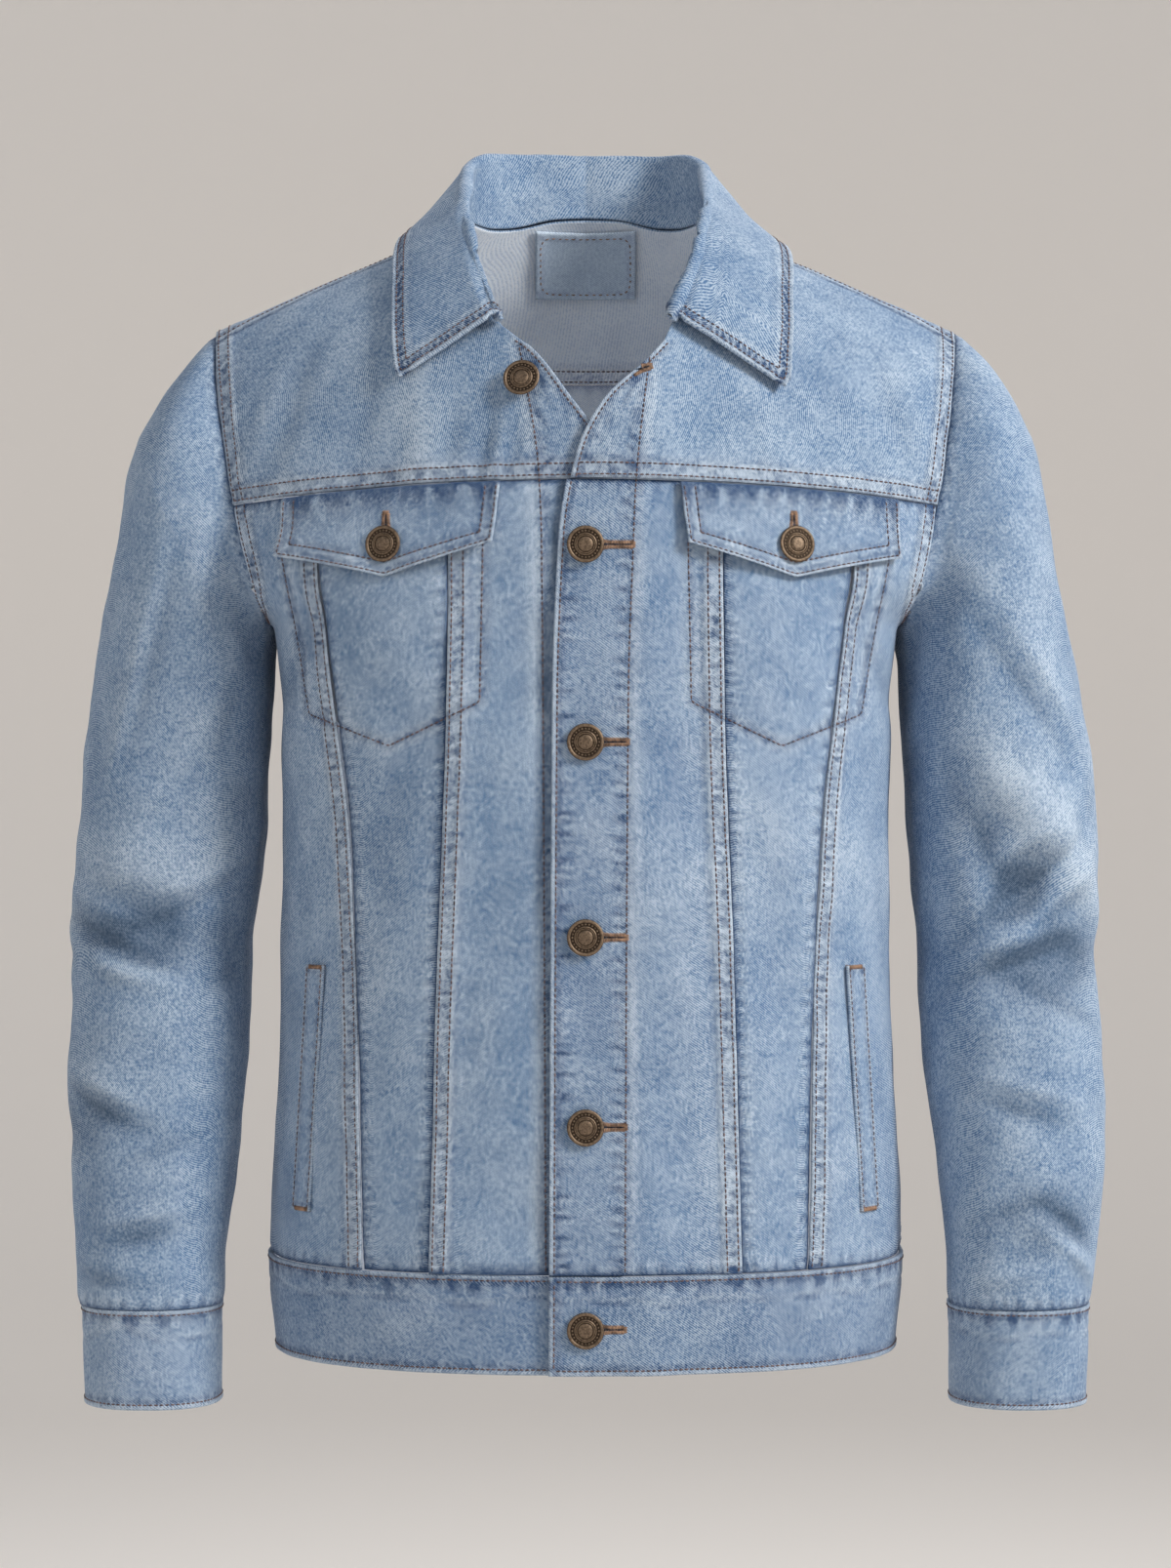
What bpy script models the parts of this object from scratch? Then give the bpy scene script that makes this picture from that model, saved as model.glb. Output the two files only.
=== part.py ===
"""A long-sleeved denim jacket, filled out as if worn, with nobody in it.

Metres, +Z up, the front towards -Y, the wearer's left towards +X. The origin lies between the
shoulders, at the base of the neck. Every cut piece is a thin wall on one shared form: body() gives
the trunk and the shoulders, sleeve_rings() gives a sleeve from its armhole down to its cuff.
"""

import math

import bmesh
import bpy
import numpy as np
from mathutils import Vector

FRONT = -1
BACK = 1
SIDES = {"left": 1, "right": -1}

# Cloth walls and the gaps between them.
CLOTH = 0.0014
DOUBLED = 0.0024
POCKETING = 0.0010
TRIM = 0.00022
SHOULDER_TRIM = 0.0006
SLEEVE_TRIM = 0.0008
ARMHOLE_TRIM = 0.0011
POCKET_GAP = 0.0021
PATCH_GAP = 0.0011
FLAP_GAP = 0.0011
WELT_GAP = 0.0007
TOP_BUTTON_SINK = 0.0005

# Heights, from the base of the neck.
ARMHOLE_TOP = -0.0585
ARMPIT = -0.2335
YOKE_FRONT_CENTRE = -0.1535
YOKE_FRONT_DROP = 0.0100
YOKE_BACK = -0.0740
BODY_END = -0.5910
HEM = -0.6460

# The trunk: at each height its half width, its depth before and behind the middle, and how full
# its corners are, where 2 is an ellipse. Above the
# armpit the width goes on as if there were no armhole, so that the front meets the sleeve well.
TRUNK = (
    ("height", "half_width", "front", "back", "fullness"),
    (
        (0.060, 0.2400, 0.1330, 0.1350, 2.40),
        (-0.100, 0.2380, 0.1330, 0.1360, 2.40),
        (-0.160, 0.2290, 0.1330, 0.1370, 2.45),
        (-0.200, 0.2120, 0.1330, 0.1370, 2.62),
        (-0.2335, 0.1795, 0.1330, 0.1365, 3.05),
        (-0.270, 0.1768, 0.1330, 0.1350, 2.90),
        (-0.350, 0.1760, 0.1320, 0.1310, 2.55),
        (-0.450, 0.1775, 0.1310, 0.1280, 2.40),
        (-0.530, 0.1812, 0.1300, 0.1270, 2.40),
        (-0.591, 0.1835, 0.1290, 0.1270, 2.40),
        (-0.646, 0.1790, 0.1260, 0.1240, 2.40),
    ),
)
ROUNDING = {FRONT: 0.240, BACK: 0.200}

# The shoulder line, and the armhole as it looks from the front.
SHOULDER = (
    ("across", "height"),
    (
        (0.000, 0.0460),
        (0.020, 0.0420),
        (0.045, 0.0295),
        (0.075, 0.0100),
        (0.112, -0.0135),
        (0.165, -0.0360),
        (0.2146, -0.0585),
        (0.240, -0.0720),
    ),
)
ARMHOLE = (
    ("height", "across"),
    (
        (-0.0585, 0.2146),
        (-0.091, 0.2110),
        (-0.137, 0.2035),
        (-0.159, 0.1995),
        (-0.199, 0.1905),
        (-0.2335, 0.1795),
    ),
)

# The neckline, from the middle of the back over the shoulder to the top corner of the front.
# Turn is 0 on the shoulder line, negative behind it and positive before it.
NECKLINE = (
    ("along", "across", "turn"),
    (
        (0.00, 0.0000, -0.520),
        (0.20, 0.0300, -0.480),
        (0.38, 0.0560, -0.360),
        (0.56, 0.0750, 0.000),
        (0.70, 0.0770, 0.300),
        (0.84, 0.0690, 0.600),
        (1.00, 0.0480, 0.910),
    ),
)

NECK_SHOULDER = 0.56
NECK_STEPS = 9
FRONT_TOP = -0.075
FRONT_TOP_STEPS = 6

# The front edges, down from the top corner. The wearer's left front laps over the right one.
FRONT_EDGE = {
    "left": (
        ("height", "across"),
        (
            (-0.070, 0.0480),
            (-0.088, 0.0320),
            (-0.109, 0.0100),
            (-0.135, -0.0040),
            (-0.154, -0.0085),
            (-0.190, -0.0150),
            (-0.270, -0.0185),
            (-0.646, -0.0205),
        ),
    ),
    "right": (
        ("height", "across"),
        (
            (-0.070, -0.0440),
            (-0.079, -0.0300),
            (-0.1045, -0.0100),
            (-0.133, 0.0090),
            (-0.154, 0.0150),
            (-0.190, 0.0190),
            (-0.270, 0.0200),
            (-0.646, 0.0200),
        ),
    ),
}
LAP = 0.0028
LAP_FULL = 0.030
LAP_NONE = 0.062

# Seams that run down the body.
FRONT_SEAMS = (
    ("height", "inner", "outer"),
    (
        (-0.150, 0.0755, 0.1505),
        (-0.204, 0.0755, 0.1480),
        (-0.285, 0.0765, 0.1380),
        (-0.340, 0.0785, 0.1320),
        (-0.450, 0.0825, 0.1270),
        (-0.591, 0.0862, 0.1240),
    ),
)
BACK_SEAM = (
    ("height", "across"),
    (
        (-0.074, 0.1350),
        (-0.250, 0.1230),
        (-0.591, 0.0900),
    ),
)

# The sleeve: at each ring the highest, outermost point, the underarm point, the depth from front
# to back, the middle of that depth, and how far the ring's front and back bow outwards.
SLEEVE = (
    ("ring", "out_x", "out_z", "in_x", "in_z", "depth", "middle", "bow"),
    (
        (1, 0.2285, -0.0685, 0.1812, -0.2370, 0.1420, 0.000, 0.0130),
        (2, 0.2420, -0.0864, 0.1822, -0.2410, 0.1450, 0.000, 0.0120),
        (3, 0.2550, -0.1104, 0.1830, -0.2470, 0.1470, 0.001, 0.0090),
        (4, 0.2645, -0.1390, 0.1834, -0.2550, 0.1470, 0.002, 0.0060),
        (5, 0.2718, -0.1782, 0.1836, -0.2660, 0.1450, 0.003, 0.0030),
        (6, 0.2800, -0.2200, 0.1838, -0.2820, 0.1420, 0.004, 0.0010),
        (7, 0.2875, -0.2650, 0.1842, -0.3020, 0.1380, 0.004, 0.0000),
        (8, 0.2945, -0.3200, 0.1860, -0.3370, 0.1320, 0.003, 0.0000),
        (9, 0.2975, -0.3700, 0.1890, -0.3770, 0.1250, 0.000, 0.0000),
        (10, 0.2975, -0.4070, 0.1930, -0.4100, 0.1180, -0.004, 0.0000),
        (11, 0.2975, -0.4400, 0.1940, -0.4400, 0.1130, -0.009, 0.0000),
        (12, 0.2990, -0.4800, 0.1960, -0.4800, 0.1080, -0.015, 0.0000),
        (13, 0.2985, -0.5230, 0.2010, -0.5230, 0.1020, -0.022, 0.0000),
        (14, 0.2955, -0.5660, 0.2050, -0.5660, 0.0960, -0.028, 0.0000),
        (15, 0.2925, -0.5940, 0.2075, -0.5940, 0.0900, -0.032, 0.0000),
        (16, 0.2900, -0.6180, 0.2080, -0.6180, 0.0840, -0.035, 0.0000),
    ),
)
CUFF = (
    ("ring", "out_x", "out_z", "in_x", "in_z", "depth", "middle", "bow"),
    (
        (0, 0.2890, -0.6180, 0.2085, -0.6180, 0.0830, -0.035, 0.0000),
        (1, 0.2880, -0.6450, 0.2090, -0.6450, 0.0820, -0.036, 0.0000),
        (2, 0.2865, -0.6735, 0.2090, -0.6735, 0.0810, -0.038, 0.0000),
    ),
)
RING_SQUARENESS = 2.25
RING_STEPS = 24
FRONT_YOKE_STEPS = 6
BACK_YOKE_STEPS = 3
BACK_SLEEVE_SEAM = 6

# The largest folds of each sleeve: the middle of the fold by its turn round the sleeve (0 outside,
# 90 in front) and its height, its lean from level, its half length and half width, and how far it
# stands out, or in where that is negative.
FOLDS = {
    "right": (
        ("turn", "height", "lean", "length", "width", "rise"),
        (
            (125, -0.180, -58, 0.060, 0.016, -0.0050),
            (95, -0.405, -14, 0.060, 0.016, -0.0070),
            (100, -0.375, -10, 0.060, 0.018, 0.0040),
            (20, -0.520, 8, 0.050, 0.018, -0.0030),
        ),
    ),
    "left": (
        ("turn", "height", "lean", "length", "width", "rise"),
        (
            (70, -0.345, 52, 0.070, 0.018, 0.0060),
            (100, -0.370, 50, 0.060, 0.018, -0.0060),
            (60, -0.425, -8, 0.050, 0.016, -0.0050),
            (80, -0.575, -5, 0.050, 0.018, -0.0030),
        ),
    ),
}
SLEEVE_RADIUS = 0.058

# The collar, from the middle of the back (0) to its front end (1): its fold line in space, and its
# outer edge as a place on the shoulders, in the way the neckline is given.
COLLAR = (
    ("along", "fold_x", "fold_y", "fold_z", "edge_across", "edge_turn"),
    (
        (0.00, 0.0000, 0.0820, 0.0605, 0.0000, -0.760),
        (0.20, 0.0330, 0.0765, 0.0600, 0.0460, -0.620),
        (0.38, 0.0590, 0.0540, 0.0570, 0.0850, -0.390),
        (0.56, 0.0700, 0.0180, 0.0430, 0.1080, 0.000),
        (0.70, 0.0695, -0.0340, 0.0160, 0.1155, 0.330),
        (0.84, 0.0640, -0.0780, -0.0180, 0.1150, 0.640),
        (1.00, 0.0495, -0.1085, -0.0600, 0.1120, 0.900),
    ),
)
COLLAR_SHORT = {1: 0.0, -1: 0.0085}
FOLD_RADIUS = 0.0042
COLLAR_STANDOFF = 0.0068
STAND_LIFT = 0.0012

# Pieces that lie on the fronts.
FLAP = {"inner": 0.051, "outer": 0.1735, "point": 0.115, "side": 0.033, "tip": 0.050}
POCKET = {"inner": 0.057, "outer": 0.168, "side": -0.279, "tip": -0.301, "top": -0.166}
WELT = {"top": -0.4225, "end": -0.5610, "across_top": 0.1505, "across_end": 0.1590, "width": 0.011}
PATCH = {"half_width": 0.0315, "top": 0.0140, "end": -0.0230}
FLAP_FLARE = 0.004
FLAP_SHIFT = {"left": 0.0, "right": -0.005}
FLAP_DROP = 0.001
POCKET_TAPER = 0.08

# Buttons: a domed cap on a shank. They stand on the front that lies below the buttonhole.
CAP_RADIUS = 0.0102
CAP_HEIGHT = 0.0024
CAP_RISE = 0.0044
SHANK_RADIUS = 0.0030
SEAT_GAP = 0.0004
BUTTON_STEPS = 16
HOLE_SIDE = 0.0035
HOLE_LENGTH = 0.0170
HOLE_DEPTH = 0.0120
FRONT_BUTTONS = (-0.190, -0.298, -0.405, -0.509)
BAND_BUTTON = -0.620
TOP_BUTTON = {"across": -0.0345, "height": -0.0985}
FLAP_BUTTON = {"across": 0.115, "height": -0.1895}
BAND_OUT = 0.0008
BAND_LAP = 0.0034

# A place inside each wall's ring, which tells its outer side from its inner one.
BODY_MIDDLE = (0.0, 0.0, -0.3)
SLEEVE_MIDDLE = (0.24, 0.0, -0.40)
CUFF_MIDDLE = (0.248, -0.036, -0.66)

COLOURS = {
    "denim": ((0.34, 0.47, 0.62, 1.0), 0.85, 0.0),
    "brass": ((0.23, 0.17, 0.11, 1.0), 0.45, 0.9),
}


def clear_scene():
    for thing in list(bpy.data.objects):
        bpy.data.objects.remove(thing, do_unlink=True)


def read(table, name, at):
    """A table's named column where its first column is at, along a smooth curve with no overshoot."""
    columns, rows = table
    rows = np.array(sorted(rows), dtype=float)
    keys = rows[:, 0]
    values = rows[:, columns.index(name)]
    steps = np.diff(keys)
    slopes = np.diff(values) / steps
    before = slopes[:-1]
    after = slopes[1:]
    rising = before * after > 0
    mean = np.where(rising, 2 * before * after / np.where(rising, before + after, 1), 0)
    tangents = np.concatenate([slopes[:1], mean, slopes[-1:]])
    at = np.asarray(at, dtype=float)
    place = np.clip(np.searchsorted(keys, at) - 1, 0, len(steps) - 1)
    share = np.clip((at - keys[place]) / steps[place], 0, 1)
    step = steps[place]
    return (
        values[place] * (2 * share**3 - 3 * share**2 + 1)
        + values[place + 1] * (3 * share**2 - 2 * share**3)
        + tangents[place] * step * (share**3 - 2 * share**2 + share)
        + tangents[place + 1] * step * (share**3 - share**2)
    )


def ease(value):
    """0 up to 0 and 1 from 1 on, with a soft change between."""
    value = np.clip(value, 0, 1)
    return value * value * (3 - 2 * value)


def crown(across):
    return read(SHOULDER, "height", np.abs(across))


def turn_at(across, height, facing):
    """How far the surface has turned down from the shoulder line, in radians."""
    drop = np.clip((crown(across) - height) / ROUNDING[facing], 0, 1)
    return np.arccos(1 - drop)


def body(across, height, facing):
    """The outer surface of the trunk at a place seen from the front or from the back."""
    across = np.asarray(across, dtype=float)
    height = np.asarray(height, dtype=float)
    share = np.clip(np.abs(across) / read(TRUNK, "half_width", height), 0, 1)
    fullness = read(TRUNK, "fullness", height)
    hollow = (1 - share**fullness) ** (1 / fullness)
    depth = read(TRUNK, "front" if facing == FRONT else "back", height)
    out = facing * depth * hollow * np.sin(turn_at(across, height, facing))
    return np.stack(np.broadcast_arrays(across, out, height), axis=-1)


def shoulders(across, turn):
    """The same surface by its turn from the shoulder line, negative behind it."""
    across = np.asarray(across, dtype=float)
    turn = np.asarray(turn, dtype=float)
    rounding = np.where(turn < 0, ROUNDING[BACK], ROUNDING[FRONT])
    height = crown(across) - rounding * (1 - np.cos(turn))
    behind = body(across, height, BACK)
    before = body(across, height, FRONT)
    return np.where((turn < 0)[..., None], behind, before)


def side_angle(across, height):
    """The angle round the trunk, a quarter turn at the side seam."""
    share = np.clip(np.abs(across) / read(TRUNK, "half_width", height), 0, 1)
    return np.arcsin(share ** (read(TRUNK, "fullness", height) / 2))


def round_side(angle, height, facing):
    """The trunk by its angle, which keeps its steps even where the wall turns to the side."""
    angle = np.asarray(angle, dtype=float)
    height = np.asarray(height, dtype=float)
    power = 2 / read(TRUNK, "fullness", height)
    across = read(TRUNK, "half_width", height) * np.abs(np.sin(angle)) ** power
    depth = read(TRUNK, "front" if facing == FRONT else "back", height)
    out = np.abs(np.cos(angle)) ** power * np.sin(turn_at(across, height, facing))
    return np.stack([across, facing * depth * out, height], axis=-1)


def lapped(points, full=LAP):
    """Lifts the wearer's left front where it lies over the right one."""
    points = points.copy()
    points[..., 1] -= full * ease((LAP_NONE - points[..., 0]) / (LAP_NONE - LAP_FULL))
    return points


def front_yoke_seam(across):
    return YOKE_FRONT_CENTRE - YOKE_FRONT_DROP * (np.asarray(across) / 0.200) ** 2


def armhole_turns(steps, seam):
    """Turns round the armhole from its top (0) to the armpit (pi), with one on the yoke seam."""
    share = (ARMHOLE_TOP - seam) / (ARMHOLE_TOP - ARMPIT)
    at_seam = math.acos(1 - 2 * share)
    upper = np.linspace(0, at_seam, steps + 1)
    lower = np.linspace(at_seam, math.pi, RING_STEPS // 2 - steps + 1)
    return np.concatenate([upper, lower[1:]])


def armhole_height(turns):
    return ARMHOLE_TOP + (ARMPIT - ARMHOLE_TOP) * (1 - np.cos(turns)) / 2


def armhole(height, facing):
    across = read(ARMHOLE, "across", height)
    return body(across, height, facing)


FRONT_ARM_SEAM = float(front_yoke_seam(read(ARMHOLE, "across", -0.1635)))
FRONT_TURNS = armhole_turns(FRONT_YOKE_STEPS, FRONT_ARM_SEAM)
BACK_TURNS = armhole_turns(BACK_YOKE_STEPS, YOKE_BACK)
LOWER_HEIGHTS = np.linspace(ARMPIT, BODY_END, 8)[1:]


def outward(grid):
    """Unit normals of a grid of points, from its own rows and columns."""
    down = np.gradient(grid, axis=0)
    across = np.gradient(grid, axis=1)
    normals = np.cross(across, down)
    return normals / np.linalg.norm(normals, axis=-1, keepdims=True)


def moved_out(grid, distance):
    """The grid moved away from the middle of the body along its normals."""
    normals = outward(grid)
    middle = grid.mean(axis=(0, 1))
    flat = np.array([middle[0], middle[1], 0.0])
    if (normals.mean(axis=(0, 1)) * flat).sum() < 0:
        normals = -normals
    return grid + normals * distance


def trimmed(grid, top=TRIM, end=TRIM, first=TRIM, last=TRIM):
    """Draws each border of a grid back towards its neighbour row, to leave a gap at the seam."""
    grid = grid.copy()
    for border, neighbour, amount in ((0, 1, top), (-1, -2, end)):
        step = grid[neighbour] - grid[border]
        grid[border] += step * amount / np.linalg.norm(step, axis=-1, keepdims=True)
    for border, neighbour, amount in ((0, 1, first), (-1, -2, last)):
        step = grid[:, neighbour] - grid[:, border]
        grid[:, border] += step * amount / np.linalg.norm(step, axis=-1, keepdims=True)
    return grid


def front_yoke(side):
    """From the shoulder line to the yoke seam, and from the neckline and front edge to the armhole."""
    sign = SIDES[side]
    heights = armhole_height(FRONT_TURNS[: FRONT_YOKE_STEPS + 1])
    arm = read(ARMHOLE, "across", heights)
    seam_turn = turn_at(arm, front_yoke_seam(arm), FRONT)
    downs = turn_at(arm, heights, FRONT) / seam_turn
    downs[-1] = 1.0
    alongs = np.linspace(NECK_SHOULDER, 1, NECK_STEPS)
    edge_across = [float(read(NECKLINE, "across", along)) for along in alongs]
    edge_down = []
    for along, across in zip(alongs, edge_across):
        whole = float(turn_at(across, front_yoke_seam(across), FRONT))
        edge_down.append(float(read(NECKLINE, "turn", along)) / whole)
    for height in np.linspace(FRONT_TOP, YOKE_FRONT_CENTRE, FRONT_TOP_STEPS):
        across = sign * float(read(FRONT_EDGE[side], "across", height))
        whole = float(turn_at(across, front_yoke_seam(across), FRONT))
        edge_across.append(across)
        edge_down.append(min(1.0, float(turn_at(across, height, FRONT)) / whole))
    rows = []
    for down, outer in zip(downs, arm):
        inner = np.interp(down, edge_down, edge_across)
        across = np.linspace(inner, outer, 9)
        turns = down * turn_at(across, front_yoke_seam(across), FRONT)
        rows.append(shoulders(across, turns))
    grid = np.array(rows)
    grid[..., 0] *= sign
    return lapped(grid) if side == "left" else grid


def lower_rows(turns, steps, seam_at_arm):
    """Heights of the rows below a yoke, and how much each still follows the yoke seam's slope."""
    upper = armhole_height(turns[steps:])
    heights = np.concatenate([upper, LOWER_HEIGHTS])
    follow = np.clip((heights - ARMPIT) / (seam_at_arm - ARMPIT), 0, 1)
    return heights, follow


def front_strip(first, last, columns):
    """Rows of a front panel between two seams, each a function of the height."""
    heights, follow = lower_rows(FRONT_TURNS, FRONT_YOKE_STEPS, FRONT_ARM_SEAM)
    rows = []
    for height, share in zip(heights, follow):
        across = np.linspace(float(first(height)), float(last(height)), columns)
        rise = share * (front_yoke_seam(across) - FRONT_ARM_SEAM)
        rows.append(body(across, height + rise, FRONT))
    return np.array(rows)


def front_centre(side):
    sign = SIDES[side]

    def edge(height):
        return sign * read(FRONT_EDGE[side], "across", height)

    def seam(height):
        return read(FRONT_SEAMS, "inner", height)

    grid = front_strip(edge, seam, 6)
    grid[..., 0] *= sign
    return lapped(grid) if side == "left" else grid


def front_middle(side):
    grid = front_strip(
        lambda height: read(FRONT_SEAMS, "inner", height),
        lambda height: read(FRONT_SEAMS, "outer", height),
        5,
    )
    grid[..., 0] *= SIDES[side]
    return grid


def side_strip(heights, follow, seam, facing, columns, slope):
    """Rows of a side panel, from its style seam to the armhole and, below the armpit, the side seam."""
    rows = []
    for height, share in zip(heights, follow):
        inner = side_angle(seam(height), height)
        outer = math.pi / 2
        if height > ARMPIT:
            outer = side_angle(read(ARMHOLE, "across", height), height)
        angles = np.linspace(float(inner), float(outer), columns)
        level = np.full(columns, height)
        for _ in range(3):
            power = 2 / read(TRUNK, "fullness", level)
            across = read(TRUNK, "half_width", level) * np.sin(angles) ** power
            level = height + share * slope(across)
        row = round_side(angles, level, facing)
        if height > ARMPIT:
            row[-1] = armhole(height, facing)
        rows.append(row)
    return np.array(rows)


def front_side(side):
    heights, follow = lower_rows(FRONT_TURNS, FRONT_YOKE_STEPS, FRONT_ARM_SEAM)
    grid = side_strip(
        heights,
        follow,
        lambda height: read(FRONT_SEAMS, "outer", height),
        FRONT,
        6,
        lambda across: np.maximum(front_yoke_seam(across) - FRONT_ARM_SEAM, 0),
    )
    grid[..., 0] *= SIDES[side]
    return grid


def back_side(side):
    heights, follow = lower_rows(BACK_TURNS, BACK_YOKE_STEPS, YOKE_BACK)
    grid = side_strip(
        heights,
        follow,
        lambda height: read(BACK_SEAM, "across", height),
        BACK,
        6,
        lambda across: 0 * across,
    )
    grid[..., 0] *= SIDES[side]
    return grid


def back_centre():
    heights, _ = lower_rows(BACK_TURNS, BACK_YOKE_STEPS, YOKE_BACK)
    rows = []
    for height in heights:
        half = float(read(BACK_SEAM, "across", height))
        rows.append(body(np.linspace(-half, half, 11), height, BACK))
    return np.array(rows)


def back_yoke():
    """From the neckline out to the armholes and down to the yoke seam, shoulder to shoulder."""
    heights = armhole_height(BACK_TURNS[: BACK_YOKE_STEPS + 1])
    arm = read(ARMHOLE, "across", heights)
    rim = [(float(x), -float(turn_at(x, z, BACK))) for x, z in zip(arm, heights)]
    for across in np.linspace(float(arm[-1]), 0, 7)[1:]:
        rim.append((across, -float(turn_at(across, YOKE_BACK, BACK))))
    alongs = NECK_SHOULDER * (1 - np.linspace(0, 1, len(rim)))
    columns = []
    for along, (rim_across, rim_turn) in zip(alongs, rim):
        across = np.linspace(float(read(NECKLINE, "across", along)), rim_across, 6)
        turns = np.linspace(float(read(NECKLINE, "turn", along)), rim_turn, 6)
        columns.append(shoulders(across, np.minimum(turns, -1e-9)))
    half = np.array(columns)
    other = half[::-1][1:].copy()
    other[..., 0] *= -1
    return np.concatenate([half, other]).transpose(1, 0, 2)


def ring_points(table, ring, turns, facing):
    """Points of one sleeve or cuff ring at turns from its outer side, before or behind."""
    place = {name: float(read(table, name, ring)) for name in table[0][1:]}
    cosine = np.sign(np.cos(turns)) * np.abs(np.cos(turns)) ** (2 / RING_SQUARENESS)
    sine = np.abs(np.sin(turns)) ** (2 / RING_SQUARENESS)
    middle_x = (place["out_x"] + place["in_x"]) / 2
    middle_z = (place["out_z"] + place["in_z"]) / 2
    x = middle_x + (place["out_x"] - place["in_x"]) / 2 * cosine + place["bow"] * np.sin(turns) ** 2
    y = place["middle"] + facing * place["depth"] / 2 * sine
    z = middle_z + (place["out_z"] - place["in_z"]) / 2 * cosine
    return np.stack([x, y, z], axis=-1)


def fold_rise(side, turns, heights):
    """How far the folds of one sleeve push its cloth out at each point."""
    columns, rows = FOLDS[side]
    total = np.zeros(np.shape(turns))
    for row in rows:
        fold = dict(zip(columns, row))
        along = (turns - math.radians(fold["turn"])) * SLEEVE_RADIUS
        up = heights - fold["height"]
        lean = math.radians(fold["lean"])
        lengthwise = along * math.cos(lean) + up * math.sin(lean)
        crosswise = up * math.cos(lean) - along * math.sin(lean)
        reach = np.exp(-((lengthwise / fold["length"]) ** 2) - (crosswise / fold["width"]) ** 2)
        total += fold["rise"] * reach
    return total


def sleeve_rings(side):
    """Rings of points from the armhole to the cuff. Columns run from the underarm by the front."""
    turns = np.concatenate([FRONT_TURNS[::-1], BACK_TURNS[1:]])
    signed = np.concatenate([FRONT_TURNS[::-1], -BACK_TURNS[1:]])
    count = len(FRONT_TURNS)
    first = np.concatenate(
        [
            armhole(armhole_height(turns[:count]), FRONT),
            armhole(armhole_height(turns[count:]), BACK),
        ]
    )
    rings = [first]
    for ring in range(1, len(SLEEVE[1]) + 1):
        before = ring_points(SLEEVE, ring, turns[:count], FRONT)
        behind = ring_points(SLEEVE, ring, turns[count:], BACK)
        points = np.concatenate([before, behind])
        centre = points.mean(axis=0)
        away = points - centre
        away[:, 2] = 0
        away /= np.linalg.norm(away, axis=1, keepdims=True) + 1e-9
        rise = fold_rise(side, signed, points[:, 2])
        inside = np.clip(np.cos(signed) + 0.8, 0, 1)
        rings.append(points + away * (rise * ease(inside))[:, None])
    grid = np.array(rings)
    grid[..., 0] *= SIDES[side]
    return grid


def cuff(side):
    turns = np.linspace(0, 2 * math.pi, RING_STEPS + 1)[:-1]
    facing = np.where(turns <= math.pi, FRONT, BACK)
    rings = [ring_points(CUFF, ring, turns, facing) for ring in range(len(CUFF[1]))]
    grid = np.array(rings)
    grid[..., 0] *= SIDES[side]
    return grid


def collar_section(along, sign):
    """Points across the collar: up inside the neck, over the fold, and down to the outer edge."""
    across = float(read(NECKLINE, "across", along))
    turn = float(read(NECKLINE, "turn", along))
    seam = shoulders(across, turn) + surface_normal(across, turn) * STAND_LIFT
    fold = np.array([float(read(COLLAR, name, along)) for name in ("fold_x", "fold_y", "fold_z")])
    short_side = COLLAR_SHORT[sign] * min(1.0, max(0.0, (along - 0.20) / 0.40))
    edge_across = float(read(COLLAR, "edge_across", along)) - short_side
    edge_turn = float(read(COLLAR, "edge_turn", along))
    edge = shoulders(edge_across, edge_turn)
    edge = edge + surface_normal(edge_across, edge_turn) * COLLAR_STANDOFF
    out = edge - seam
    out[2] = 0
    out /= np.linalg.norm(out)
    low = np.array([0, 0, FOLD_RADIUS])
    inner = fold - out * FOLD_RADIUS - low
    outer = fold + out * FOLD_RADIUS - low
    normal = surface_normal(across, turn)
    inner = inner + normal * max(0.0, FOLD_RADIUS - float((inner - seam) @ normal))
    outer = outer + normal * max(0.0, COLLAR_STANDOFF - float((outer - seam) @ normal))
    points = [seam, (seam + inner) / 2, inner, fold, outer]
    for share in (0.25, 0.5, 0.75, 1.0):
        foot_across = across + (edge_across - across) * share
        foot_turn = turn + (edge_turn - turn) * share
        normal = surface_normal(foot_across, foot_turn)
        foot = shoulders(foot_across, foot_turn)
        point = outer + (edge - outer) * share
        short = COLLAR_STANDOFF - float((point - foot) @ normal)
        points.append(point + normal * max(0.0, short))
    points = np.array(points)
    points[:, 0] *= sign
    return points


def surface_normal(across, turn):
    """The outward direction of the shoulders' surface at one place."""
    step = 1e-4
    start = -1 if turn < 0 else 1
    side = shoulders(across + step, turn) - shoulders(across - step, turn)
    down = (shoulders(across, turn + start * step) - shoulders(across, turn)) * start
    normal = np.cross(down, side)
    normal = normal / np.linalg.norm(normal)
    return normal if normal[2] > 0 or start * normal[1] < 0 else -normal


def collar():
    alongs = np.concatenate([-np.linspace(1, 0, 14), np.linspace(0, 1, 14)[1:]])
    return np.array([collar_section(abs(a), 1 if a >= 0 else -1) for a in alongs])


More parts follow.
